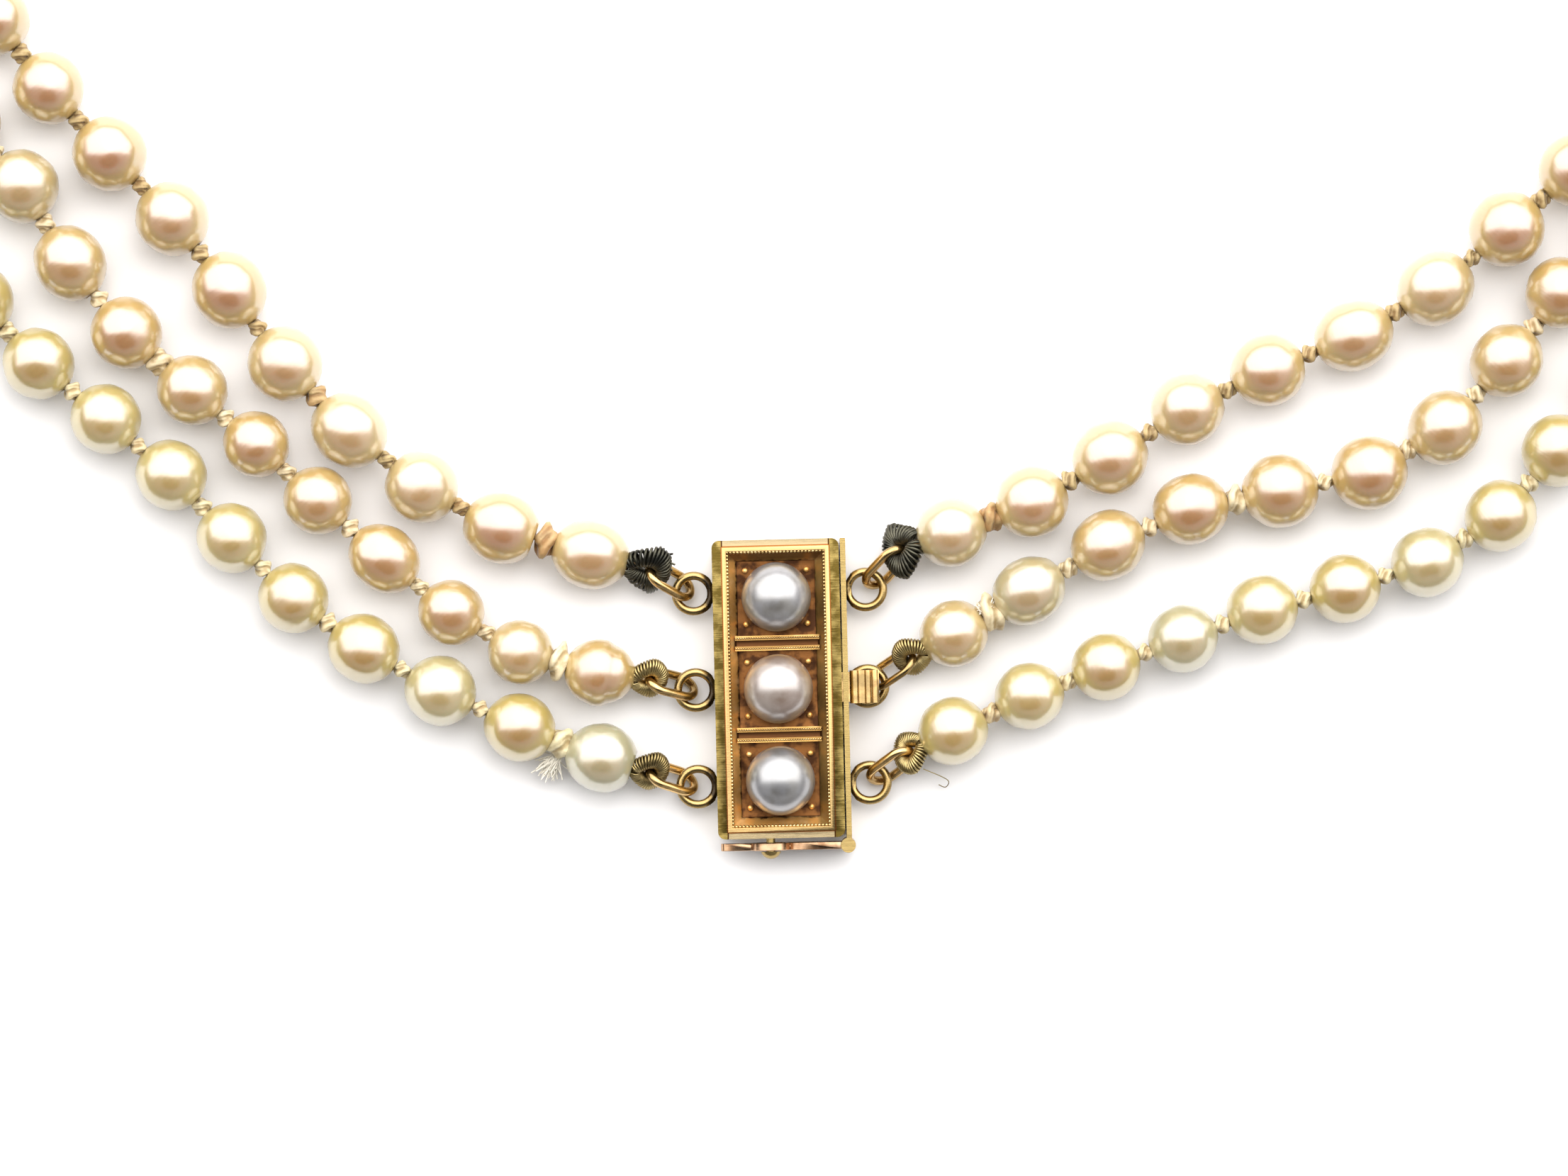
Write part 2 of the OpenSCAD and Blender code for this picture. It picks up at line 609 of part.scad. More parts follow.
// Outline of the catch in its own plane, from the hinge towards -X: the round
// eye over the stud with its tab, then a long narrow eye up to the hinge
module catch_outline() {
    long_r = 0.85;
    joint_w = 0.3;
    slot_l = 1.2;
    tab_w = 0.9;
    tab_x = -catch_reach - eye_d / 2 - tab_l;
    long_x = -catch_reach + eye_d / 2 + long_r - joint_w;
    difference() {
        union() {
            translate([-catch_reach, 0]) circle(d = eye_d);
            translate([tab_x, -tab_w / 2]) square([tab_l + eye_band, tab_w]);
            translate([tab_x, 0]) circle(d = tab_w, $fn = 32);
            translate([long_x, 0]) circle(r = long_r);
            translate([long_x, -long_r]) square([-knuckle_d / 2 + fit - long_x, 2 * long_r]);
        }
        translate([-catch_reach, 0]) circle(d = eye_d - 2 * eye_band);
        translate([long_x, 0]) circle(r = long_r - eye_band);
        translate([long_x, eye_band - long_r]) square([slot_l, 2 * (long_r - eye_band)]);
    }
}

module safety_catch() color("peru") {
    translate([hinge_x, hinge_y, catch_z]) {
        rotate([90, 0, 0]) translate([0, 0, -catch_t / 2]) linear_extrude(catch_t) catch_outline();
        difference() {
            cylinder(d = knuckle_d, h = knuckle_h, center = true, $fn = 48);
            cylinder(d = pin_d + 2 * fit, h = 2 * knuckle_h, center = true, $fn = 32);
        }
    }
}

module set_down() { translate([origin_x, origin_y, 0]) children(); }

set_down() clasp_case();
set_down() clasp_tongue();
set_down() clasp_press();
set_down() safety_catch();
set_down() color("silver") grey_pearl(1);  // grey_pearl_top
set_down() color("lightgray") grey_pearl(0);  // grey_pearl_middle
set_down() color("silver") grey_pearl(-1);  // grey_pearl_bottom
set_down() color("gold") jump_ring(INNER, -1);  // ring_left_inner
set_down() color("gold") jump_ring(MIDDLE, -1);  // ring_left_middle
set_down() color("gold") jump_ring(OUTER, -1);  // ring_left_outer
set_down() color("gold") jump_ring(INNER, 1);  // ring_right_inner
set_down() color("gold") jump_ring(MIDDLE, 1);  // ring_right_middle
set_down() color("gold") jump_ring(OUTER, 1);  // ring_right_outer
set_down() color("dimgray") gimp(INNER, -1);  // gimp_left_inner
set_down() color("olive") gimp(MIDDLE, -1);  // gimp_left_middle
set_down() color("olive") gimp(OUTER, -1);  // gimp_left_outer
set_down() color("dimgray") gimp(INNER, 1);  // gimp_right_inner
set_down() color("olive") gimp(MIDDLE, 1);  // gimp_right_middle
set_down() color("olive") gimp(OUTER, 1);  // gimp_right_outer
set_down() color("seashell") strand_pearls(INNER);  // pearls_inner
set_down() color("linen") strand_pearls(MIDDLE);  // pearls_middle
set_down() color("cornsilk") strand_pearls(OUTER);  // pearls_outer
set_down() color("tan") strand_silk(INNER);  // silk_inner
set_down() color("wheat") strand_silk(MIDDLE);  // silk_middle
set_down() color("wheat") strand_silk(OUTER);  // silk_outer
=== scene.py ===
import math
import bmesh
import bpy
import numpy as np
from mathutils import Matrix, Vector, noise


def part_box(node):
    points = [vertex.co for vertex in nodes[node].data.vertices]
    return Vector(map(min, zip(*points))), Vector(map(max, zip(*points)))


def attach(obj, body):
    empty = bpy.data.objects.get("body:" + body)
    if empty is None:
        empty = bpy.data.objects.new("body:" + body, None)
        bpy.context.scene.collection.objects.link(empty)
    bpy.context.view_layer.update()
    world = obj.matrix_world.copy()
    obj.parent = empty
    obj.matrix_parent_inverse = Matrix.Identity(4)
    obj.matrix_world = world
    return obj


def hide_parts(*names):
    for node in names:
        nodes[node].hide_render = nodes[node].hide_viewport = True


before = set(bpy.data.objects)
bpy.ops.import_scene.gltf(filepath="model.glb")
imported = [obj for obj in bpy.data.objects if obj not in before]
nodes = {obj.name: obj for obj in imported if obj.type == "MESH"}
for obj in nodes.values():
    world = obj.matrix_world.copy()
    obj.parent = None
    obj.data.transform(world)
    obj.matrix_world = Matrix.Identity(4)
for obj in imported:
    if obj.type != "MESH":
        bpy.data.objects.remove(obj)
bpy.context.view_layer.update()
scene = bpy.context.scene
mm = 0.001
strands = ("inner", "middle", "outer")
mergeWithin = 1e-7    # m

# Half sizes of the clasp's box in part.scad, and its middle on the surface
boxHalfWidth = 4.25 * mm
boxHalfLength = 10.0 * mm
claspRows = 6.5    # mm between the loops of neighbouring strands
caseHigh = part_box("clasp_case")[1]
claspPlace = Vector((caseHigh.x - boxHalfWidth, caseHigh.y - boxHalfLength, 0))


def atClasp(x, y, z):
    return claspPlace + Vector((x, y, z)) * mm


# Short ways to write node trees

def feed(tree, socket, value):
    if isinstance(value, bpy.types.NodeSocket):
        tree.links.new(value, socket)
    else:
        socket.default_value = value


def addNode(tree, kind, inputs=None, **settings):
    made = tree.nodes.new(kind)
    for name, value in settings.items():
        setattr(made, name, value)
    for key, value in (inputs or {}).items():
        feed(tree, made.inputs[key], value)
    return made


def firstOut(tree, kind, inputs=None, **settings):
    return addNode(tree, kind, inputs, **settings).outputs[0]


def doMath(tree, operation, *values):
    return firstOut(tree, "ShaderNodeMath", dict(enumerate(values)), operation=operation)


def plus(tree, *values):
    return doMath(tree, "ADD", *values)


def minus(tree, *values):
    return doMath(tree, "SUBTRACT", *values)


def timesPlus(tree, first, second, added):
    return doMath(tree, "MULTIPLY_ADD", first, second, added)


def times(tree, *values):
    product = values[0]
    for value in values[1:]:
        product = doMath(tree, "MULTIPLY", product, value)
    return product


def doVector(tree, operation, *values):
    keys = (0, "Scale") if operation == "SCALE" else (0, 1)
    return firstOut(tree, "ShaderNodeVectorMath", dict(zip(keys, values)), operation=operation)


def splitVector(tree, vector):
    return addNode(tree, "ShaderNodeSeparateXYZ", {"Vector": vector}).outputs


def joinVector(tree, x, y, z):
    return firstOut(tree, "ShaderNodeCombineXYZ", {"X": x, "Y": y, "Z": z})


def cloudiness(tree, vector, scale, detail):
    return firstOut(tree, "ShaderNodeTexNoise", {"Vector": vector, "Scale": scale, "Detail": detail})


def mapRange(tree, value, low, high, toLow=0.0, toHigh=1.0, smooth=True):
    return firstOut(tree, "ShaderNodeMapRange", {
        "Value": value, "From Min": low, "From Max": high, "To Min": toLow, "To Max": toHigh},
        interpolation_type="SMOOTHSTEP" if smooth else "LINEAR")


def grey(value):
    return (value, value, value)


def ramp(tree, factor, stops, smooth=False):
    made = addNode(tree, "ShaderNodeValToRGB", {"Fac": factor})
    if smooth:
        made.color_ramp.interpolation = "EASE"
    for element, (place, colour) in zip(made.color_ramp.elements, stops):
        element.position = place
        element.color = (*colour, 1)
    return made.outputs["Color"]


def mixColour(tree, factor, first, second):
    made = addNode(tree, "ShaderNodeMix", data_type="RGBA")
    # Sockets 6 and 7 are the two colours
    for key, value in ((0, factor), (6, first), (7, second)):
        feed(tree, made.inputs[key], (*value, 1) if isinstance(value, tuple) else value)
    return made.outputs[2]


# Materials

def newMaterial(name):
    material = bpy.data.materials.new(name)
    material.use_nodes = True
    tree = material.node_tree
    return material, tree, tree.nodes["Principled BSDF"]


def surfacePlace(tree):
    return addNode(tree, "ShaderNodeTexCoord").outputs["Object"]


def stored(tree, name, output="Fac"):
    return addNode(tree, "ShaderNodeAttribute", attribute_name=name).outputs[output]


def setSockets(tree, shader, values):
    for key, value in values.items():
        feed(tree, shader.inputs[key], value)


def roughen(tree, shader, height, strength, depth):
    # Bump of the given depth, in mm
    bump = addNode(tree, "ShaderNodeBump", {"Height": height, "Strength": strength, "Distance": depth * mm})
    tree.links.new(bump.outputs["Normal"], shader.inputs["Normal"])


# Objects and Geometry Nodes

def addObject(name, data):
    made = bpy.data.objects.new(name, data)
    scene.collection.objects.link(made)
    return made


def newMesh(name, points, edges=(), faces=()):
    mesh = bpy.data.meshes.new(name)
    mesh.from_pydata([tuple(point) for point in points], list(edges), list(faces))
    return mesh


def newGrowth(name, sizes):
    tree = bpy.data.node_groups.new(name, "GeometryNodeTree")
    for label, kind in {"Geometry": "Geometry", **sizes}.items():
        tree.interface.new_socket(label, in_out="INPUT", socket_type="NodeSocket" + kind)
    tree.interface.new_socket("Geometry", in_out="OUTPUT", socket_type="NodeSocketGeometry")
    return tree, tree.nodes.new("NodeGroupInput").outputs, tree.nodes.new("NodeGroupOutput").inputs


def endGrowth(tree, geometry, given, result, smooth=True):
    if smooth:
        geometry = firstOut(tree, "GeometryNodeSetShadeSmooth", {"Geometry": geometry})
    solid = firstOut(tree, "GeometryNodeRealizeInstances", {"Geometry": geometry})
    painted = firstOut(tree, "GeometryNodeSetMaterial", {"Geometry": solid, "Material": given["Material"]})
    tree.links.new(painted, result["Geometry"])


def grow(name, mesh, tree, values):
    # Runs the tree on a small mesh and keeps what grows from it as a plain mesh
    seedObject = addObject(name + "Seed", mesh)
    modifier = seedObject.modifiers.new(tree.name, "NODES")
    modifier.node_group = tree
    for item in tree.interface.items_tree:
        if item.in_out == "INPUT" and item.name in values:
            modifier[item.identifier] = values[item.name]
    depsgraph = bpy.context.evaluated_depsgraph_get()
    grown = bpy.data.meshes.new_from_object(seedObject.evaluated_get(depsgraph), depsgraph=depsgraph)
    seedObject.modifiers.remove(modifier)
    bpy.data.objects.remove(seedObject)
    return addObject(name, grown)


def namedValue(tree, name, kind="FLOAT"):
    return firstOut(tree, "GeometryNodeInputNamedAttribute", {"Name": name}, data_type=kind)


def storeField(tree, geometry, name, value, kind="FLOAT"):
    return firstOut(tree, "GeometryNodeStoreNamedAttribute", {
        "Geometry": geometry, "Name": name, "Value": value}, data_type=kind, domain="POINT")


def storeValues(mesh, columns):
    for name, values in columns.items():
        values = np.asarray(values, dtype=np.float32)
        kind, field = ("FLOAT_VECTOR", "vector") if values.ndim == 2 else ("FLOAT", "value")
        mesh.attributes.new(name, kind, "POINT").data.foreach_set(field, values.ravel())


def copyBalls(tree, points, segments, rings, chosen=True):
    # A unit ball on each chosen point, whose own places are kept in "local"
    ball = firstOut(tree, "GeometryNodeMeshUVSphere", {"Segments": segments, "Rings": rings, "Radius": 1.0})
    position = firstOut(tree, "GeometryNodeInputPosition")
    marked = storeField(tree, ball, "local", position, "FLOAT_VECTOR")
    copies = firstOut(tree, "GeometryNodeInstanceOnPoints", {
        "Points": points, "Instance": marked, "Selection": chosen})
    return firstOut(tree, "GeometryNodeRealizeInstances", {"Geometry": copies})


def placeBalls(tree, geometry, parts, wide, deep):
    # Turns each ball to its stored directions, round its stored centre
    along = namedValue(tree, "along", "FLOAT_VECTOR")
    across = namedValue(tree, "across", "FLOAT_VECTOR")
    third = doVector(tree, "CROSS_PRODUCT", along, across)
    place = namedValue(tree, "centre", "FLOAT_VECTOR")
    for direction, amount in ((across, times(tree, parts["X"], wide)),
                              (third, times(tree, parts["Y"], wide)), (along, deep)):
        place = doVector(tree, "ADD", place, doVector(tree, "SCALE", direction, amount))
    return firstOut(tree, "GeometryNodeSetPosition", {"Geometry": geometry, "Position": place})


def drawWire(tree, curve, sides, thickness):
    profile = firstOut(tree, "GeometryNodeCurvePrimitiveCircle", {
        "Resolution": sides, "Radius": times(tree, thickness, 0.5)})
    return firstOut(tree, "GeometryNodeCurveToMesh", {
        "Curve": curve, "Profile Curve": profile, "Fill Caps": True})


def curveOf(tree, mesh):
    return firstOut(tree, "GeometryNodeMeshToCurve", {"Mesh": mesh})


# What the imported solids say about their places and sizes

def joinedSolid(nodeName):
    work = bmesh.new()
    work.from_mesh(nodes[nodeName].data)
    bmesh.ops.remove_doubles(work, verts=work.verts, dist=mergeWithin)
    return work


def islandsOf(nodeName):
    # Points, face centres and face normals of each separate solid of a node
    work = joinedSolid(nodeName)
    work.verts.ensure_lookup_table()
    seen, islands = set(), []
    for start in work.verts:
        if start.index in seen:
            continue
        seen.add(start.index)
        stack, faces = [start], set()
        while stack:
            for face in stack.pop().link_faces:
                faces.add(face)
                for vert in face.verts:
                    if vert.index not in seen:
                        seen.add(vert.index)
                        stack.append(vert)
        points = np.array([v.co for v in {v for f in faces for v in f.verts}])
        centres = np.array([f.calc_center_median() for f in faces])
        normals = np.array([f.normal for f in faces])
        islands.append((points, centres, normals))
    work.free()
    return islands


def mainAxes(points):
    return np.linalg.svd(points - points.mean(0), full_matrices=False)[2]


def sideways(axis):
    return np.array([axis[1], -axis[0], 0.0]) / np.hypot(axis[0], axis[1])


studio = {
    "cameraPlace": (-6.46, -64.47),    # mm, over the middle of the picture
    "cameraHeight": 500,               # mm over the pearls' middle
    "pearlMiddle": 2.4,
    "cameraTurn": -1.35,               # degrees
    "frameWidth": 105.3,               # mm across the picture at the pearls' middle
    "nearestSeen": 10,
    "floorSize": 4000,
    "floorDrop": 0.02,
    "paper": (0.79, 0.785, 0.79),
    "paperGrain": 900.0,               # noise scales are per metre
    "paperPaler": 1.03,
    "softboxPlace": (60, 260, 600),
    "softboxSize": (300, 300),
    "softboxTilt": -23,
    "softboxPower": 0.8,
    "softboxColour": (1, 0.985, 0.97),
    "tentColour": (1, 0.985, 0.975, 1),
    "tentBright": 3.7,                 # far side of the light tent, over the clasp's top end
    "tentNear": 0.46,                  # near side and walls
    "tentSide": 0.4,                   # how much more the right wall gives
    "tentLow": 0.4,                    # share left at the foot of the walls
    "tentHole": 0.05,                  # opening that the camera looks through
    # The rest are parts of a direction: where the bright side begins and is full
    "brightAlong": (-0.2, 0.1),
    "brightUp": (0.0, 0.25),
    "brightAside": (0.99, 0.84),
    "footUp": (0.15, 0.4),
    "holeMiddle": -0.42,
    "holeHalf": (0.52, 0.34),
    "holeEdge": (1.3, 0.6),            # squares of the distance, in half sizes
}


def makeCamera(s):
    camera = addObject("camera", bpy.data.cameras.new("camera"))
    camera.data.lens = camera.data.sensor_width * s["cameraHeight"] / s["frameWidth"]
    camera.data.clip_start = s["nearestSeen"] * mm
    camera.location = [v * mm for v in (*s["cameraPlace"], s["cameraHeight"] + s["pearlMiddle"])]
    camera.rotation_euler = (0, 0, math.radians(s["cameraTurn"]))
    scene.camera = camera


def makeFloor(s):
    half = s["floorSize"] * mm / 2
    corners = [(-half, -half, 0), (half, -half, 0), (half, half, 0), (-half, half, 0)]
    mesh = newMesh("floor", corners, faces=[(0, 1, 2, 3)])
    floor = addObject("floor", mesh)
    floor.location.z = -s["floorDrop"] * mm
    paper, tree, shader = newMaterial("whitePaper")
    grain = firstOut(tree, "ShaderNodeTexNoise", {"Scale": s["paperGrain"], "Detail": 3.0})
    colour = ramp(tree, grain, [(0.3, s["paper"]), (0.7, [v * s["paperPaler"] for v in s["paper"]])])
    setSockets(tree, shader, {"Base Color": colour, "Roughness": 0.9, "Specular IOR Level": 0.1})
    mesh.materials.append(paper)


def makeSoftbox(s):
    light = bpy.data.lights.new("softbox", "AREA")
    light.shape = "RECTANGLE"
    light.size, light.size_y = [v * mm for v in s["softboxSize"]]
    light.energy = s["softboxPower"]
    light.color = s["softboxColour"]
    softbox = addObject("softbox", light)
    softbox.location = [v * mm for v in s["softboxPlace"]]
    softbox.rotation_euler = (math.radians(s["softboxTilt"]), 0, 0)


def makeTent(s):
    # Bright at the far side, dimmer at the near side, with a dark hole beside the camera
    world = bpy.data.worlds.new("lightTent")
    world.use_nodes = True
    tree = world.node_tree
    sky = splitVector(tree, addNode(tree, "ShaderNodeTexCoord").outputs["Generated"])
    aside = doMath(tree, "ABSOLUTE", sky["X"])
    bright = times(tree, mapRange(tree, sky["Y"], *s["brightAlong"]),
                   mapRange(tree, sky["Z"], *s["brightUp"]), mapRange(tree, aside, *s["brightAside"]))
    holeX = doMath(tree, "DIVIDE", sky["X"], s["holeHalf"][0])
    holeY = doMath(tree, "DIVIDE", minus(tree, sky["Y"], s["holeMiddle"]), s["holeHalf"][1])
    fromHole = plus(tree, times(tree, holeX, holeX), times(tree, holeY, holeY))
    hole = mapRange(tree, fromHole, *s["holeEdge"])
    near = timesPlus(tree, hole, s["tentHole"] - s["tentNear"], s["tentNear"])
    near = times(tree, near, timesPlus(tree, sky["X"], s["tentSide"], 1.0))
    near = times(tree, near, mapRange(tree, sky["Z"], *s["footUp"], s["tentLow"], smooth=False))
    strength = timesPlus(tree, bright, s["tentBright"] - s["tentNear"], near)
    setSockets(tree, tree.nodes["Background"], {"Color": s["tentColour"], "Strength": strength})
    scene.world = world


for makePart in (makeCamera, makeFloor, makeSoftbox, makeTent):
    makePart(studio)
scene.view_settings.view_transform = "Standard"
print("studio ready")


# Each look's third colour is painted shade, put on the pearl's upper side
pearlLooks = {
    "inner": {"rim": (0.41, 0.275, 0.085), "pale": (0.44, 0.34, 0.165), "paintedTopShade": (0.31, 0.135, 0.06)},
    "middle": {"rim": (0.41, 0.265, 0.078), "pale": (0.43, 0.33, 0.15), "paintedTopShade": (0.30, 0.14, 0.052)},
    "outer": {"rim": (0.385, 0.29, 0.075), "pale": (0.43, 0.36, 0.16), "paintedTopShade": (0.295, 0.165, 0.052)},
}
nacre = {
    "cool": (0.33, 0.31, 0.19),        # greenish, on a few pearls
    "coolFrom": (0.8, 0.95),           # tones that turn to it
    # Where the painted shade on the pearl's upper side begins and is full, and how strong it gets
    "paintedShadeFrom": (0.65, 0.92),         # height on the pearl, as a share of its half girth
    "paintedShadeMost": 0.95,
    "clouds": 420.0,
    "cloudShare": 0.6,                 # a pearl is pale where its clouds and its tone are high
    "toneShare": 0.9,
    "shadeStart": -0.4,
    "rings": 2.2,
    "ringStretch": (0.6, 0.6, 5.0),    # growth rings lie round the drilled axis
    "pits": 900.0,
    "pitShare": 0.25,
    "bump": 0.35,
    "bumpDepth": 0.06,                 # mm
    "glowDepth": 0.8,
}
pearlShape = {
    "segments": 32,
    "rings": 24,
    "lumps": 0.06,
    "lumpScale": 0.9,
    "dents": 0.075,
    "dentScale": 2.6,
    "snug": 0.2,                       # mm that each end comes nearer to its knot
    "plump": 0.09,                     # mm more all round
    "seed": 5,
    # Pearls with a grown ring or a cut end, and some tones, counted from the clasp's left,
    # or from its right if negative
    "ringed": {"middle": [0]},
    "cut": {"inner": [1], "outer": [0]},
    "tones": {"inner": {0: 0.6, 1: 0.1}, "middle": {-2: 0.88}, "outer": {0: 0.95, -4: 0.9}},
    "mostTone": 0.88,
    "middleOfLoop": (0.0, 6.8),        # mm
    # Parts of the half length or girth
    "capFrom": (-0.1, -0.5),
    "capNarrower": 0.06,
    "groovePlace": -0.32,
    "grooveWidth": 0.1,
    "grooveDepth": 0.05,
    "cutAt": 0.86,
    "holeDepth": 0.5,
}


def pearlMaterial(name, look, n):
    material, tree, shader = newMaterial(name)
    local = stored(tree, "local", "Vector")
    tone = stored(tree, "tone")
    place = surfacePlace(tree)
    cloud = cloudiness(tree, place, n["clouds"], 3.0)
    ownShade = timesPlus(tree, tone, n["toneShare"], n["shadeStart"])
    shade = timesPlus(tree, cloud, n["cloudShare"], ownShade)
    skin = mixColour(tree, shade, look["rim"], look["pale"])
    skin = mixColour(tree, mapRange(tree, tone, *n["coolFrom"], smooth=False), skin, n["cool"])
    # Painted shade: the upper side is painted a darker rosy colour, stronger on some pearls
    upper = times(tree, splitVector(tree, local)["Y"], -1.0)
    paintedTopShade = mapRange(tree, upper, *n["paintedShadeFrom"], 0.0, n["paintedShadeMost"])
    paintedTopShade = times(tree, paintedTopShade, timesPlus(tree, tone, -0.6, 1.0))
    skin = mixColour(tree, paintedTopShade, skin, look["paintedTopShade"])
    rings = cloudiness(tree, doVector(tree, "MULTIPLY", local, n["ringStretch"]), n["rings"], 4.0)
    pits = firstOut(tree, "ShaderNodeTexVoronoi", {"Vector": place, "Scale": n["pits"]})
    pit = ramp(tree, pits, [(0.0, grey(0)), (0.12, grey(1))])
    height = plus(tree, rings, times(tree, pit, n["pitShare"]))
    roughen(tree, shader, height, n["bump"], n["bumpDepth"])
    setSockets(tree, shader, {
        "Base Color": skin, "Roughness": 0.34, "IOR": 1.9, "Specular Tint": (1.0, 0.95, 0.84, 1.0),
        "Coat Weight": 1.0, "Coat Roughness": 0.2, "Coat IOR": 2.5,
        "Subsurface Weight": 0.1, "Subsurface Scale": n["glowDepth"] * mm})
    return material


def pearlTree(p):
    tree, given, result = newGrowth("pearlRow", {
        "Segments": "Int", "Rings": "Int", "Lumps": "Float", "Dents": "Float", "Material": "Material"})
    balls = copyBalls(tree, given["Geometry"], given["Segments"], given["Rings"])
    local = namedValue(tree, "local", "FLOAT_VECTOR")
    seed = namedValue(tree, "seed")
    seedPlace = joinVector(tree, seed, times(tree, seed, 1.7), times(tree, seed, 0.6))
    shifted = doVector(tree, "ADD", local, seedPlace)
    lumps = minus(tree, cloudiness(tree, shifted, p["lumpScale"], 1.0), 0.5)
    dents = minus(tree, cloudiness(tree, shifted, p["dentScale"], 2.0), 0.6)
    swell = plus(tree, times(tree, lumps, given["Lumps"]), times(tree, dents, given["Dents"]))
    swell = plus(tree, swell, 1.0)
    parts = splitVector(tree, local)
    # A grown ring: a smaller cap beyond a groove, on the clasp's side
    cap = mapRange(tree, parts["Z"], *p["capFrom"], 0.0, p["capNarrower"])
    away = doMath(tree, "DIVIDE", minus(tree, parts["Z"], p["groovePlace"]), p["grooveWidth"])
    groove = times(tree, doMath(tree, "EXPONENT", times(tree, away, away, -1.0)), p["grooveDepth"])
    narrow = times(tree, plus(tree, cap, groove), namedValue(tree, "ringed"))
    girth = minus(tree, swell, narrow)
    # A cut end on the clasp's side, beyond which nothing lies: uncut pearls have it at -2
    cut = namedValue(tree, "cut")
    uncut = doMath(tree, "LESS_THAN", cut, 0.5)
    lowest = timesPlus(tree, cut, -p["cutAt"], times(tree, uncut, -2.0))
    # The drilled hole's mouth at both poles
    atPole = doMath(tree, "GREATER_THAN", doMath(tree, "ABSOLUTE", parts["Z"]), 0.9999)
    sunk = minus(tree, 1.0, times(tree, atPole, p["holeDepth"]))
    up = times(tree, doMath(tree, "MAXIMUM", parts["Z"], lowest), sunk)
    pearls = placeBalls(tree, balls, parts, times(tree, girth, namedValue(tree, "girthHalf")),
                        times(tree, up, swell, namedValue(tree, "lengthHalf")))
    endGrowth(tree, pearls, given, result)
    return tree


def measurePearls(nodeName, middle):
    # Centre, drilled axis, length and girth of each pearl, in order from the clasp's left end
    found = []
    for points, centres, normals in islandsOf(nodeName):
        centre = (points.min(0) + points.max(0)) / 2
        inward = np.einsum("ij,ij->i", centres - centre, normals) < 0
        bore = centres[inward]
        axis = mainAxes(np.vstack([bore, 2 * centre - bore]))[0]
        t = (points - centre) @ axis
        radial = np.linalg.norm((points - centre) - np.outer(t, axis), axis=1)
        angle = math.atan2(centre[0] - middle[0], -(centre[1] - middle[1]))
        found.append({"centre": centre + axis * (t.max() + t.min()) / 2, "axis": axis, "angle": angle,
                      "length": t.max() - t.min(), "girth": 2 * radial.max()})
    found.sort(key=lambda pearl: -pearl["angle"] % (2 * math.pi))
    for i, pearl in enumerate(found):
        # The axis points away from the clasp on both sides
        before, after = (found[i - 1], pearl) if i else (pearl, found[1])
        away = after["centre"] - before["centre"]
        away = away if i < len(found) / 2 else -away
        if pearl["axis"] @ away < 0:
            pearl["axis"] = -pearl["axis"]
    return found


def makePearls(strand, tree, p):
    rows = measurePearls("pearls_" + strand, [v * mm for v in p["middleOfLoop"]])
    random = np.random.default_rng(p["seed"] + len(rows))
    lift = np.array([0, 0, p["plump"] * mm])
    centres = [row["centre"] + lift for row in rows]
    mesh = newMesh("pearlPlaces", centres)
    seeds = random.uniform(0, 60, len(rows))
    tones = random.uniform(0, p["mostTone"], len(rows))
    for number, tone in p["tones"][strand].items():
        tones[number] = tone
    storeValues(mesh, {
        "centre": centres, "along": [row["axis"] for row in rows],
        "across": [sideways(row["axis"]) for row in rows],
        "girthHalf": [row["girth"] / 2 + p["plump"] * mm for row in rows],
        "lengthHalf": [row["length"] / 2 + p["snug"] * mm for row in rows], "seed": seeds, "tone": tones})
    for form in ("ringed", "cut"):
        storeValues(mesh, {form: [float(i in p[form].get(strand, [])) for i in range(len(rows))]})
    piece = grow("pearl_strand_" + strand, mesh, tree, {
        "Segments": p["segments"], "Rings": p["rings"], "Lumps": p["lumps"], "Dents": p["dents"],
        "Material": pearlMaterial("pearlSkin_" + strand, pearlLooks[strand], nacre)})
    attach(piece, "necklace")
    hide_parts("pearls_" + strand)
    print(strand, len(rows), "pearls")
    return rows


rowTree = pearlTree(pearlShape)
pearlRows = {strand: makePearls(strand, rowTree, pearlShape) for strand in strands}


goldLooks = {
    "wornGold": {"bright": (0.66, 0.44, 0.19), "olive": (0.33, 0.23, 0.10), "brown": (0.13, 0.055, 0.02),
                 "rough": (0.14, 0.3)},
    "blackenedWire": {"bright": (0.10, 0.095, 0.07), "olive": (0.03, 0.03, 0.025),
                      "brown": (0.02, 0.015, 0.01), "rough": (0.3, 0.5)},
    "oliveWire": {"bright": (0.42, 0.33, 0.15), "olive": (0.20, 0.15, 0.065), "brown": (0.06, 0.035, 0.015),
                  "rough": (0.25, 0.45)},
    "rosyGold": {"bright": (0.62, 0.40, 0.24), "olive": (0.28, 0.15, 0.075), "brown": (0.16, 0.07, 0.03),
                 "rough": (0.12, 0.3)},
    "beadGold": {"bright": (0.62, 0.46, 0.22), "olive": (0.40, 0.27, 0.11), "brown": (0.2, 0.09, 0.03),
                 "rough": (0.2, 0.3)},
}
goldWear = {"clouds": 600.0, "stains": 1400.0, "stained": 0.4, "scratches": (700, 1500, 700),
            "bump": 0.15, "bumpDepth": 0.04}
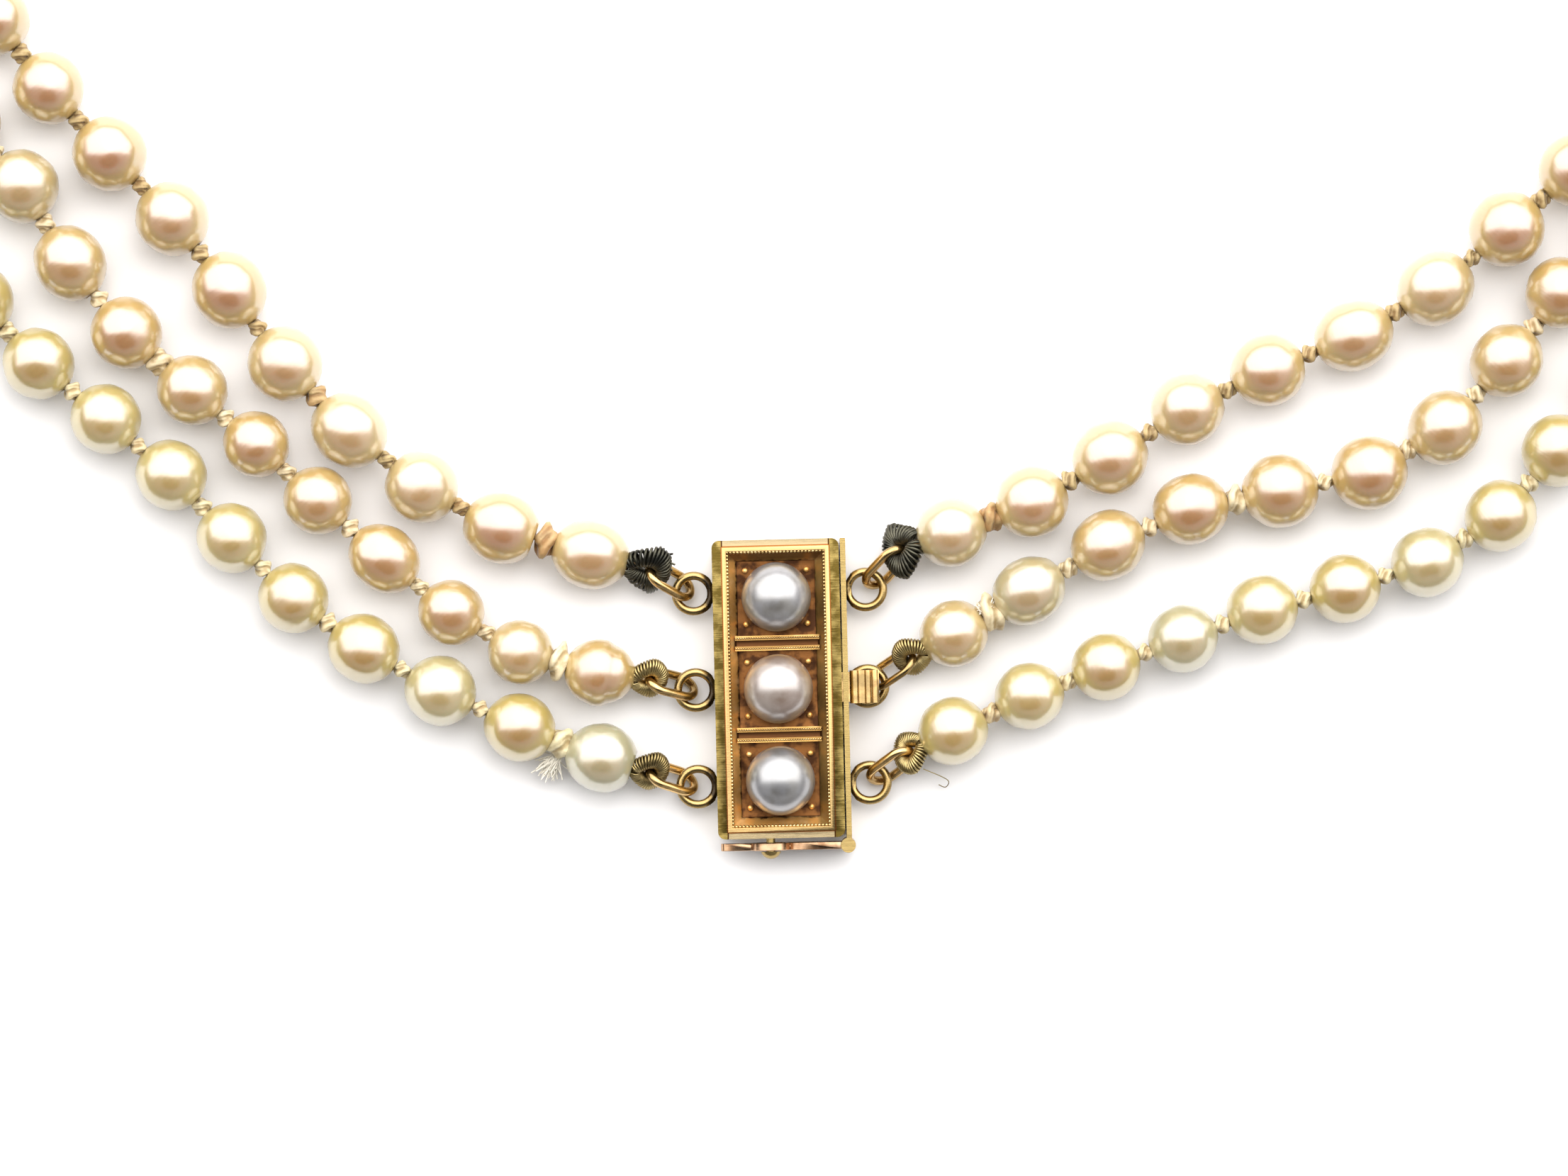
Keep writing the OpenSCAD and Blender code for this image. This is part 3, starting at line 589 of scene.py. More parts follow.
# The darker colour of each silk is painted shade, down in the grooves between its wraps
silkLooks = {
    "tanSilk": {"pale": (0.46, 0.35, 0.17), "paintedGrooveShade": (0.20, 0.13, 0.05)},
    "creamSilk_middle": {"pale": (0.68, 0.58, 0.38), "paintedGrooveShade": (0.36, 0.26, 0.12)},
    "creamSilk_outer": {"pale": (0.66, 0.58, 0.36), "paintedGrooveShade": (0.35, 0.26, 0.12)},
    "frayedSilk": {"pale": (0.80, 0.76, 0.66), "paintedGrooveShade": (0.50, 0.44, 0.32)},
}
silkWear = {"stain": (0.36, 0.15, 0.04), "patches": 900.0, "fibres": 3200.0, "fibreHeight": 0.4,
            "plies": 7.0, "plySlant": 9.0, "plyHeight": 0.14, "bump": 0.9, "bumpDepth": 0.16}


def goldMaterial(name, look, w):
    material, tree, shader = newMaterial(name)
    place = surfacePlace(tree)
    cloud = cloudiness(tree, place, w["clouds"], 4.0)
    colour = ramp(tree, cloud, [(0.35, look["olive"]), (0.6, look["bright"])], True)
    stain = cloudiness(tree, place, w["stains"], 5.0)
    stained = ramp(tree, stain, [(0.55, grey(0)), (0.75, grey(w["stained"]))], True)
    scratch = cloudiness(tree, doVector(tree, "MULTIPLY", place, w["scratches"]), 1.0, 4.0)
    low, high = look["rough"]
    setSockets(tree, shader, {
        "Base Color": mixColour(tree, stained, colour, look["brown"]), "Metallic": 1.0,
        "Roughness": ramp(tree, scratch, [(0.3, grey(low)), (0.7, grey(high))])})
    roughen(tree, shader, scratch, w["bump"], w["bumpDepth"])
    return material


def silkMaterial(name, look, w):
    material, tree, shader = newMaterial(name)
    groove = stored(tree, "groove")
    place = surfacePlace(tree)
    # Twisted plies run slantwise round each knot
    parts = splitVector(tree, stored(tree, "local", "Vector"))
    turn = doMath(tree, "ARCTAN2", parts["Y"], parts["X"])
    slant = timesPlus(tree, parts["Z"], w["plySlant"], times(tree, groove, 5.0))
    ply = doMath(tree, "SINE", timesPlus(tree, turn, w["plies"], slant))
    raised = timesPlus(tree, ply, w["plyHeight"], groove)
    fibre = cloudiness(tree, place, w["fibres"], 3.0)
    height = timesPlus(tree, fibre, w["fibreHeight"], raised)
    # Painted shade: darker down in the grooves between the wraps, paler on their tops
    colour = ramp(tree, height, [(0.3, look["paintedGrooveShade"]), (0.85, look["pale"])], True)
    patch = cloudiness(tree, place, w["patches"], 2.0)
    patch = ramp(tree, patch, [(0.35, grey(0.4)), (0.6, grey(1))], True)
    stained = times(tree, stored(tree, "stained"), patch)
    roughen(tree, shader, height, w["bump"], w["bumpDepth"])
    setSockets(tree, shader, {
        "Base Color": mixColour(tree, stained, colour, w["stain"]), "Roughness": 0.6,
        "Sheen Weight": 0.3, "Sheen Roughness": 0.3})
    return material


golds = {name: goldMaterial(name, look, goldWear) for name, look in goldLooks.items()}
silks = {name: silkMaterial(name, look, silkWear) for name, look in silkLooks.items()}
strandSilk = {"inner": "tanSilk", "middle": "creamSilk_middle", "outer": "creamSilk_outer"}


# Gimp: a coil of fine wire, curled round its jump ring and drawn out to its pearl
gimpSizes = {
    "pathRadius": 0.8,        # mm, middle of the curl
    "coilRadius": 0.45,
    "wire": 0.17,
    "wireSides": 5,
    "turns": 40,
    "stepsPerTurn": 12,
    "opening": 30,            # degrees left open towards the first pearl
    "widen": 1.3,             # the curl is wider across the strand
    "neck": 0.65,             # width where both ends are drawn together
    "tangle": 0.08,
    # The two blackened curls beside the inner strand are thicker and untidy
    "black": {"coilRadius": 0.56, "wire": 0.22, "turns": 34, "widen": 1.5, "tangle": 0.4},
}


def gimpTree():
    tree, given, result = newGrowth("gimpCurl", {
        "Path radius": "Float", "Coil radius": "Float", "Wire": "Float", "Wire sides": "Int", "Turns": "Int",
        "Steps per turn": "Int", "Opening": "Float", "Widen": "Float", "Reach": "Float", "Tangle": "Float",
        "Seed": "Float", "Material": "Material"})
    steps = times(tree, given["Turns"], given["Steps per turn"])
    line = firstOut(tree, "GeometryNodeMeshLine", {"Count": steps})
    index = firstOut(tree, "GeometryNodeInputIndex")
    share = doMath(tree, "DIVIDE", index, steps)
    spread = minus(tree, 2 * math.pi, given["Opening"])
    turn = timesPlus(tree, share, spread, times(tree, given["Opening"], 0.5))
    phase = times(tree, doMath(tree, "DIVIDE", index, given["Steps per turn"]), 2 * math.pi)
    out = timesPlus(tree, doMath(tree, "COSINE", phase), given["Coil radius"], given["Path radius"])
    # Both ends of the coil are drawn together towards the pearl
    fromMiddle = doMath(tree, "ABSOLUTE", minus(tree, share, 0.5))
    drawn = mapRange(tree, fromMiddle, 0.24, 0.5, smooth=False)
    narrowing = minus(tree, gimpSizes["neck"], given["Widen"])
    width = timesPlus(tree, drawn, narrowing, given["Widen"])
    curled = times(tree, out, doMath(tree, "COSINE", turn))
    spot = joinVector(tree, timesPlus(tree, drawn, given["Reach"], curled),
                      times(tree, out, doMath(tree, "SINE", turn), width),
                      times(tree, doMath(tree, "SINE", phase), given["Coil radius"]))
    drift = addNode(tree, "ShaderNodeTexNoise", {
        "Vector": spot, "W": given["Seed"], "Scale": 900.0, "Detail": 2.0}, noise_dimensions="4D")
    sway = doVector(tree, "SUBTRACT", drift.outputs["Color"], grey(0.5))
    sway = doVector(tree, "SCALE", sway, given["Tangle"])
    placed = firstOut(tree, "GeometryNodeSetPosition", {
        "Geometry": line, "Position": doVector(tree, "ADD", spot, sway)})
    endGrowth(tree, drawWire(tree, curveOf(tree, placed), given["Wire sides"], given["Wire"]), given, result)
    return tree


def circleOf(points):
    # Middle and plane of a curl, from its solid's points
    middle = points.mean(0)
    axes = mainAxes(points)
    flat = (points - middle) @ axes[:2].T
    rows = np.column_stack([2 * flat, np.ones(len(flat))])
    fit = np.linalg.lstsq(rows, (flat ** 2).sum(1), rcond=None)[0]
    normal = axes[2] if axes[2][2] >= 0 else -axes[2]
    return middle + fit[0] * axes[0] + fit[1] * axes[1], normal


def basisAt(centre, first, normal):
    columns = (first, np.cross(normal, first), normal, centre)
    return Matrix([[column[row] for column in columns] for row in range(3)] + [[0, 0, 0, 1]])


def makeGimp(side, strand, seed, tree):
    # Returns the curl's mouth, where the silk goes in
    name = side + "_" + strand
    points = np.array([v.co for v in nodes["gimp_" + name].data.vertices])
    centre, normal = circleOf(points)
    opening = centre - points.mean(0)
    opening -= normal * (opening @ normal)
    opening /= np.linalg.norm(opening)
    mouth = centre + opening * gimpSizes["pathRadius"] * mm
    pearl = pearlRows[strand][0 if side == "left" else -1]
    reach = np.linalg.norm(pearl["centre"] - mouth) - pearl["length"] / 2
    black = strand == "inner"
    sizes = {**gimpSizes, **(gimpSizes["black"] if black else {})}
    piece = grow("gimp_curl_" + name, newMesh("gimpStart", [(0, 0, 0)]), tree, {
        "Path radius": sizes["pathRadius"] * mm, "Coil radius": sizes["coilRadius"] * mm,
        "Wire": sizes["wire"] * mm, "Wire sides": sizes["wireSides"], "Turns": sizes["turns"],
        "Steps per turn": sizes["stepsPerTurn"], "Opening": math.radians(sizes["opening"]),
        "Widen": sizes["widen"], "Reach": reach, "Tangle": sizes["tangle"] * mm, "Seed": seed,
        "Material": golds["blackenedWire" if black else "oliveWire"]})
    piece.data.transform(basisAt(centre, opening, normal))
    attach(piece, "necklace")
    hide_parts("gimp_" + name)
    return mouth


curlTree = gimpTree()
curls = [(side, strand) for side in ("left", "right") for strand in strands]
gimpMouths = {curl: makeGimp(*curl, float(seed), curlTree) for seed, curl in enumerate(curls)}
print("gimps coiled")


silkSizes = {
    "knotAcross": 1.2,        # mm
    "knotAlong": 1.15,
    "vary": 0.13,
    "stain": 0.25,
    "wraps": 0.3,             # depth of the grooves between the wraps
    "firstWrap": (2.0, 4.5),  # times round, and slant along the knot
    "crossWrap": (-3.0, 3.0),
    "crossShare": 0.5,
    "ballSides": (20, 11),
    "thread": 0.4,
    "threadSides": 8,
    "seed": 11,
    # Knots that differ, counted from the clasp's left and right: across, along and stain
    "odd": {
        "inner": {0: (2.3, 1.5, 0.6), -1: (1.9, 1.5, 0.65), 3: (1.5, 1.4, 0.4)},
        "middle": {0: (2.5, 1.35, 0.0), -1: (2.6, 1.6, 0.05), 6: (1.8, 1.5, 0.1), -4: (1.9, 1.4, 0.0)},
        "outer": {0: (2.0, 1.7, 0.0), -1: (1.3, 1.2, 0.3)},
    },
}


def knotTree():
    tree, given, result = newGrowth("silkRow", {
        "Wraps": "Float", "Thread": "Float", "Thread sides": "Int", "Material": "Material"})
    # Knots: a ball of crossing wraps on each marked point
    isKnot = firstOut(tree, "FunctionNodeCompare", {0: namedValue(tree, "knot"), 1: 0.5},
                      data_type="FLOAT", operation="GREATER_THAN")
    balls = copyBalls(tree, given["Geometry"], *silkSizes["ballSides"], isKnot)
    parts = splitVector(tree, namedValue(tree, "local", "FLOAT_VECTOR"))
    seed = namedValue(tree, "seed")
    turn = doMath(tree, "ARCTAN2", parts["Y"], parts["X"])

    def wraps(around, slant):
        lean = timesPlus(tree, parts["Z"], slant, seed)
        return doMath(tree, "SINE", plus(tree, times(tree, turn, around), lean))

    crossing = times(tree, wraps(*silkSizes["crossWrap"]), silkSizes["crossShare"])
    both = plus(tree, wraps(*silkSizes["firstWrap"]), crossing)
    groove = times(tree, both, times(tree, given["Wraps"], 0.5))
    swell = plus(tree, 1.0, groove)
    grooved = storeField(tree, balls, "groove", timesPlus(tree, groove, 1.6, 0.45))
    deep = times(tree, parts["Z"], times(tree, swell, namedValue(tree, "alongHalf")))
    knots = placeBalls(tree, grooved, parts, times(tree, swell, namedValue(tree, "acrossHalf")), deep)
    # The thread itself runs through all the points
    thread = drawWire(tree, curveOf(tree, given["Geometry"]), given["Thread sides"], given["Thread"])
    joined = addNode(tree, "GeometryNodeJoinGeometry")
    for part in (knots, thread):
        tree.links.new(part, joined.inputs[0])
    endGrowth(tree, joined.outputs[0], given, result)
    return tree


def makeSilk(strand, tree, rows, s):
    # Knots between neighbouring pearls, and the thread from gimp to gimp
    start, end = gimpMouths["left", strand], gimpMouths["right", strand]
    points, axes = [start], [rows[0]["centre"] - start]
    for before, after in zip(rows, rows[1:]):
        reach = after["centre"] - before["centre"]
        way = reach / np.linalg.norm(reach)
        gap = np.linalg.norm(reach) - before["length"] / 2 - after["length"] / 2
        points.append(before["centre"] + way * (before["length"] / 2 + gap / 2))
        axes.append(way)
    points.append(end)
    axes.append(end - rows[-1]["centre"])
    axes = [a / np.linalg.norm(a) for a in axes]
    mesh = newMesh("knotPlaces", points, [(i, i + 1) for i in range(len(points) - 1)])
    random = np.random.default_rng(s["seed"])
    sizes = [[s["knotAcross"] * (1 + random.uniform(-1, 1) * s["vary"]), s["knotAlong"],
              s["stain"] * random.uniform()] for point in points]
    for number, size in s["odd"][strand].items():
        sizes[number + 1 if number >= 0 else number - 1] = size
    across, along, stained = np.array(sizes).T
    storeValues(mesh, {
        "centre": points, "along": axes, "across": [sideways(a) for a in axes],
        "acrossHalf": across * mm / 2, "alongHalf": along * mm / 2, "stained": stained,
        "knot": [0.0] + [1.0] * (len(points) - 2) + [0.0], "seed": random.uniform(0, 6.28, len(points))})
    piece = grow("silk_thread_" + strand, mesh, tree, {
        "Wraps": s["wraps"], "Thread": s["thread"] * mm, "Thread sides": s["threadSides"],
        "Material": silks[strandSilk[strand]]})
    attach(piece, "necklace")
    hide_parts("silk_" + strand)


silkTree = knotTree()
for strand, rows in pearlRows.items():
    makeSilk(strand, silkTree, rows, silkSizes)
print("silk knotted")


claspLook = {
    "rail": (0.11, 0.075, 0.016),
    "railPale": (0.30, 0.22, 0.07),
    # Painted highlight: a paler, whiter colour on the end rails
    "paintedEndHighlight": (0.32, 0.25, 0.14),
    "line": (0.22, 0.08, 0.02),
    "barTop": (0.40, 0.23, 0.07),
    # Painted shade in the groove between the bar ridges
    "paintedBarGrooveShade": (0.08, 0.03, 0.008),
    "ridge": (0.44, 0.30, 0.125),
    "slope": (0.78, 0.44, 0.13),
    "slopePale": (0.95, 0.63, 0.28),
    # Painted shade on the slope of the right side and on the slope of the top end
    "paintedShadeRight": (0.28, 0.18, 0.055),    # right side
    "paintedShadeTop": (0.20, 0.10, 0.035),     # top end
    # Oxide on the tray floor, darkened further as painted shade under the set pearls
    "tray": (0.17, 0.068, 0.018),
    # Dirt, and painted shade where the slopes meet the tray floor
    "dirtAndShade": (0.04, 0.014, 0.004),
    "side": (0.36, 0.26, 0.10),
    "loop": (0.36, 0.25, 0.10),
    # Nearly black where the loops meet the case
    "solder": (0.04, 0.03, 0.02),
    # Noise scales per mm
    "clouds": 1.1,
    "rags": 2.4,
    "scratches": (0.9, 16.0, 0.9),
    "worn": (0.42, 0.62),
    "bump": 0.12,
    "bumpDepth": 0.03,
}
# Where a finish begins and where it is full, in mm: aside and along from the clasp's middle
# line, up from the surface. A band has its middle and half its width.
claspEdges = {
    "endRailAlong": (9.5, 9.55), "endRailAside": (3.56, 3.52),
    "railUp": (4.18, 4.26), "ridgeUp": (4.34, 4.42), "topUp": (4.0, 4.1),
    "lineSideBand": (3.61, 0.06), "lineSideEnd": (9.62, 9.56),
    "lineEndBand": (9.57, 0.07), "lineEndSide": (3.64, 3.6),
    "notchBand": (3.58, 0.06), "notchAlong": (9.52, 9.6),
    "insideAside": (3.34, 3.28), "insideAlong": (9.29, 9.23),
    "slopeUp": (3.42, 3.62), "paintedShadeAside": (2.4, 2.7), "paintedShadeAlong": (8.5, 8.8), "floorUp": (3.46, 3.41),
    "barBand": (3.075, 0.56), "barAside": (2.9, 2.84), "barUp": (4.0, 3.95), "barTopUp": (3.75, 3.82),
    "loopAcross": (1.7, 1.45), "loopUp": (2.2, 1.8), "loopAside": (4.24, 4.3), "solderAside": (5.1, 4.6),
}


def claspMaterial(look, edges):
    # One finish for the whole case: olive rails, bright ridge, orange slopes and a brown tray
    material, tree, shader = newMaterial("claspGold")
    local = firstOut(tree, "ShaderNodeMapping", {
        "Vector": surfacePlace(tree), "Scale": grey(1 / mm), "Location": tuple(-v / mm for v in claspPlace)})
    parts = splitVector(tree, local)
    up = parts["Z"]
    aside = doMath(tree, "ABSOLUTE", parts["X"])
    along = doMath(tree, "ABSOLUTE", parts["Y"])
    cloud = cloudiness(tree, local, look["clouds"], 5.0)
    ragged = cloudiness(tree, local, look["rags"], 3.0)
    scratch = cloudiness(tree, doVector(tree, "MULTIPLY", local, look["scratches"]), 1.0, 3.0)

    def beyond(value, edge):
        return mapRange(tree, value, *edges[edge])

    def inBand(value, edge):
        middle, half = edges[edge]
        away = doMath(tree, "ABSOLUTE", minus(tree, value, middle))
        return mapRange(tree, away, half, half / 2)

    def unevenly(value, most):
        return timesPlus(tree, minus(tree, ragged, 0.5), most, value)

    wear = timesPlus(tree, scratch, 0.25, times(tree, cloud, 0.75))
    rail = mixColour(tree, mapRange(tree, wear, *look["worn"]), look["rail"], look["railPale"])
    # Painted highlight: the end rails are painted paler and whiter than the side rails
    paintedEndHighlight = times(tree, beyond(along, "endRailAlong"), beyond(aside, "endRailAside"))
    rail = mixColour(tree, paintedEndHighlight, rail, look["paintedEndHighlight"])
    colour = mixColour(tree, beyond(up, "railUp"), look["side"], rail)
    colour = mixColour(tree, beyond(up, "ridgeUp"), colour, look["ridge"])
    # A brown line runs outside the ridge, and a notch parts the end rails from the side rails
    sideLine = times(tree, inBand(aside, "lineSideBand"), beyond(along, "lineSideEnd"))
    endLine = times(tree, inBand(along, "lineEndBand"), beyond(aside, "lineEndSide"))
    atRidge = doMath(tree, "MAXIMUM", sideLine, endLine)
    onTop = beyond(up, "topUp")
    colour = mixColour(tree, times(tree, atRidge, onTop), colour, look["line"])
    notch = times(tree, inBand(aside, "notchBand"), beyond(along, "notchAlong"))
    colour = mixColour(tree, times(tree, notch, onTop), colour, look["dirtAndShade"])
    # Inside the frame the slopes are orange, with dirt and painted shade along their ragged lower edge
    slope = mixColour(tree, beyond(unevenly(up, 0.5), "slopeUp"), look["dirtAndShade"], look["slope"])
    slope = mixColour(tree, mapRange(tree, cloud, 0.45, 0.8), slope, look["slopePale"])
    # Painted shade: the right slope and the top end's slope are painted darker
    slope = mixColour(tree, times(tree, beyond(parts["X"], "paintedShadeAside"), 0.75), slope, look["paintedShadeRight"])
    slope = mixColour(tree, times(tree, beyond(parts["Y"], "paintedShadeAlong"), 0.8), slope, look["paintedShadeTop"])
    inside = times(tree, beyond(aside, "insideAside"), beyond(along, "insideAlong"))
    colour = mixColour(tree, inside, colour, slope)
    # The tray floor is oxide, darkened further as painted shade under the set pearls
    floor = mixColour(tree, mapRange(tree, cloud, 0.38, 0.6), look["dirtAndShade"], look["tray"])
    colour = mixColour(tree, times(tree, inside, beyond(up, "floorUp")), colour, floor)
    # Cross bars: bright ridges with painted shade, a dark brown, in the groove between them
    onBar = times(tree, beyond(aside, "barAside"), beyond(up, "barUp"), inBand(along, "barBand"))
    bar = mixColour(tree, beyond(up, "barTopUp"), look["paintedBarGrooveShade"], look["barTop"])
    colour = mixColour(tree, onBar, colour, bar)
    # Loops are duller, and nearly black where they meet the case
    beside = doMath(tree, "PINGPONG", parts["Y"], claspRows / 2)
    atLoop = times(tree, beyond(beside, "loopAcross"), beyond(up, "loopUp"), beyond(aside, "loopAside"))
    colour = mixColour(tree, atLoop, colour, look["loop"])
    joint = times(tree, atLoop, beyond(unevenly(aside, 0.8), "solderAside"))
    colour = mixColour(tree, joint, colour, look["solder"])
    roughness = ramp(tree, scratch, [(0.3, grey(0.22)), (0.7, grey(0.3))])
    setSockets(tree, shader, {
        "Base Color": colour, "Roughness": mixColour(tree, inside, roughness, grey(0.45)),
        "Metallic": timesPlus(tree, inside, -0.12, 1.0)})
    height = plus(tree, scratch, times(tree, ragged, 1.5))
    roughen(tree, shader, height, look["bump"], look["bumpDepth"])
    return material


wireSwell = 0.05      # mm
wireTop = 3.6         # mm, above every loop and jump ring
sameFace = 1          # degrees between triangles that are joined to one face
edgeAngle = 32        # degrees, edges sharper than this stay sharp


def fillMesh(mesh, work, angle, material):
    for face in work.faces:
        face.smooth = True
    work.to_mesh(mesh)
    work.free()
    mesh.set_sharp_from_angle(angle=math.radians(angle))
    mesh.materials.clear()
    mesh.materials.append(material)
    return mesh


def goldCopy(nodeName, pieceName, body, material, bevel=0.0, angle=edgeAngle, wireFrom=None):
    # The CAD solid with its points joined, smooth where it curves and softened along its edges.
    # Wires beyond wireFrom (mm from the clasp's middle) are drawn a little thicker.
    work = joinedSolid(nodeName)
    bmesh.ops.dissolve_limit(work, angle_limit=math.radians(sameFace), verts=work.verts, edges=work.edges)
    if wireFrom is not None:
        work.normal_update()
        normals = [vert.normal.copy() for vert in work.verts]
        for vert, normal in zip(work.verts, normals):
            if abs(vert.co.x - claspPlace.x) > wireFrom * mm and vert.co.z < wireTop * mm:
                vert.co += normal * wireSwell * mm
    piece = addObject(pieceName, fillMesh(nodes[nodeName].data.copy(), work, angle, material))
    if bevel:
        rounded = piece.modifiers.new("softEdges", "BEVEL")
        rounded.width = bevel * mm
        rounded.segments = 2
        rounded.limit_method = "ANGLE"
        rounded.angle_limit = math.radians(angle)
    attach(piece, body)
    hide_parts(nodeName)


claspGold = claspMaterial(claspLook, claspEdges)
for nodeName, pieceName, body, material, bevel, wireFrom in (
        ("clasp_case", "case", "necklace", claspGold, 0.05, 4.4),
        ("clasp_tongue", "tongue", "necklace", claspGold, 0.03, 5.0),
        ("clasp_press", "press_piece", "press", golds["wornGold"], 0.06, None),
        ("safety_catch", "catch", "catch", golds["rosyGold"], 0.08, None)):
    goldCopy(nodeName, pieceName, body, material, bevel, wireFrom=wireFrom)


milgrain = {
    "bead": 0.25,             # mm across
    "pitch": 0.235,
    "frameX": 3.24, "frameY": 9.18, "frameZ": 4.3,
    "barX": 2.75, "barY": 3.075, "barRidge": 0.35, "barZ": 3.86,
    "barBead": 0.17,
}


def beadTree():
    tree, given, result = newGrowth("beadRows", {"Pitch": "Float", "Bead": "Float", "Material": "Material"})
    spots = firstOut(tree, "GeometryNodeCurveToPoints", {
        "Curve": curveOf(tree, given["Geometry"]), "Length": given["Pitch"]}, mode="LENGTH")
    bead = firstOut(tree, "GeometryNodeMeshIcoSphere", {
        "Radius": times(tree, given["Bead"], 0.5), "Subdivisions": 2})
    copies = firstOut(tree, "GeometryNodeInstanceOnPoints", {"Points": spots, "Instance": bead})
    endGrowth(tree, copies, given, result)
    return tree


def makeMilgrain(m, material):
    tree = beadTree()
    x, y = m["frameX"], m["frameY"]
    short = x - m["pitch"]
    frameRows = [[(side * x, -y), (side * x, y)] for side in (-1, 1)]
    frameRows += [[(-short, end * y), (short, end * y)] for end in (-1, 1)]
    barRows = [[(end * m["barX"], bar * m["barY"] + side * m["barRidge"]) for end in (-1, 1)]
               for bar in (-1, 1) for side in (-1, 1)]
    for name, rows, z, bead in (("milgrain_frame", frameRows, m["frameZ"], m["bead"]),
                                ("milgrain_bars", barRows, m["barZ"], m["barBead"])):
        points = [atClasp(*point, z) for row in rows for point in row]
        mesh = newMesh(name, points, [(2 * i, 2 * i + 1) for i in range(len(rows))])
        piece = grow(name, mesh, tree, {
            "Pitch": m["pitch"] * mm * bead / m["bead"], "Bead": bead * mm, "Material": material})
        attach(piece, "necklace")


# Loose wires and frayed silk, in mm from the clasp's middle
strayWires = {
    "wireThickness": 0.07,
    "wireSides": 5,
    "hooked": [(9.63, -5.66, 1.7), (10.95, -6.26, 1.1), (11.33, -6.6, 0.7), (11.1, -6.95, 0.5),
               (10.65, -6.77, 0.6)],
    "seed": 7,
}
frays = {
    # place, way that the fibres point, count, length, spread, thickness
    "black_wires": ((-8.1, 9.1, 2.4), (1, -0.25, 0.0), 9, 1.5, 0.34, 0.15),
    "silk_left": ((-15.0, -4.3, 1.6), (-0.55, -0.8, -0.25), 120, 1.6, 0.32, 0.09),
    "silk_right": ((14.0, 4.9, 3.0), (0.2, 0.7, 0.1), 40, 0.8, 0.7, 0.06),
}


def strayTree():
    tree, given, result = newGrowth("strayWire", {
        "Thickness": "Float", "Sides": "Int", "Material": "Material"})
    bent = firstOut(tree, "GeometryNodeCurveSplineType", {
        "Curve": curveOf(tree, given["Geometry"])}, spline_type="CATMULL_ROM")
    fine = firstOut(tree, "GeometryNodeSetSplineResolution", {"Geometry": bent, "Resolution": 4})
    wire = drawWire(tree, fine, given["Sides"], given["Thickness"])
    # Loose fibres are as pale as the top of a knot's wraps
    endGrowth(tree, storeField(tree, wire, "groove", 1.0), given, result, smooth=False)
    return tree


def frayedLines(place, way, count, length, spread, random):
    # Short curved fibres that fan out from one place
    lines = []
    for i in range(count):
        start = Vector(place) + Vector(random.uniform(-0.3, 0.3, 3))
        aim = Vector(way) + Vector(random.normal(0, spread, 3))
        aim.z *= 0.5
        step = aim.normalized() * length * random.uniform(0.4, 1.0) / 3
        bend = Vector(random.normal(0, 0.12, 3)) * length
        lines.append([start, start + step, start + step * 2 + bend * 0.4, start + step * 3 + bend])
    return lines


def makeStrays(s):
    tree = strayTree()
    random = np.random.default_rng(s["seed"])
    jobs = [("stray_wire", [s["hooked"]], s["wireThickness"], golds["oliveWire"], "gimp_wire")]
    for name, (*form, thickness) in frays.items():
        black = name.startswith("black")
        jobs.append(("fray_" + name, frayedLines(*form, random), thickness,
                     golds["blackenedWire"] if black else silks["frayedSilk"],
                     "tarnished_wire" if black else "cream_silk"))
    for name, lines, thickness, material, slot in jobs:
        points, edges = [], []
        for line in lines:
            edges += [(len(points) + i, len(points) + i + 1) for i in range(len(line) - 1)]
            points += [atClasp(*point) for point in line]
        piece = grow(name, newMesh(name, points, edges), tree, {
            "Thickness": thickness * mm, "Sides": s["wireSides"], "Material": material})
        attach(piece, "necklace")


makeMilgrain(milgrain, golds["beadGold"])
makeStrays(strayWires)


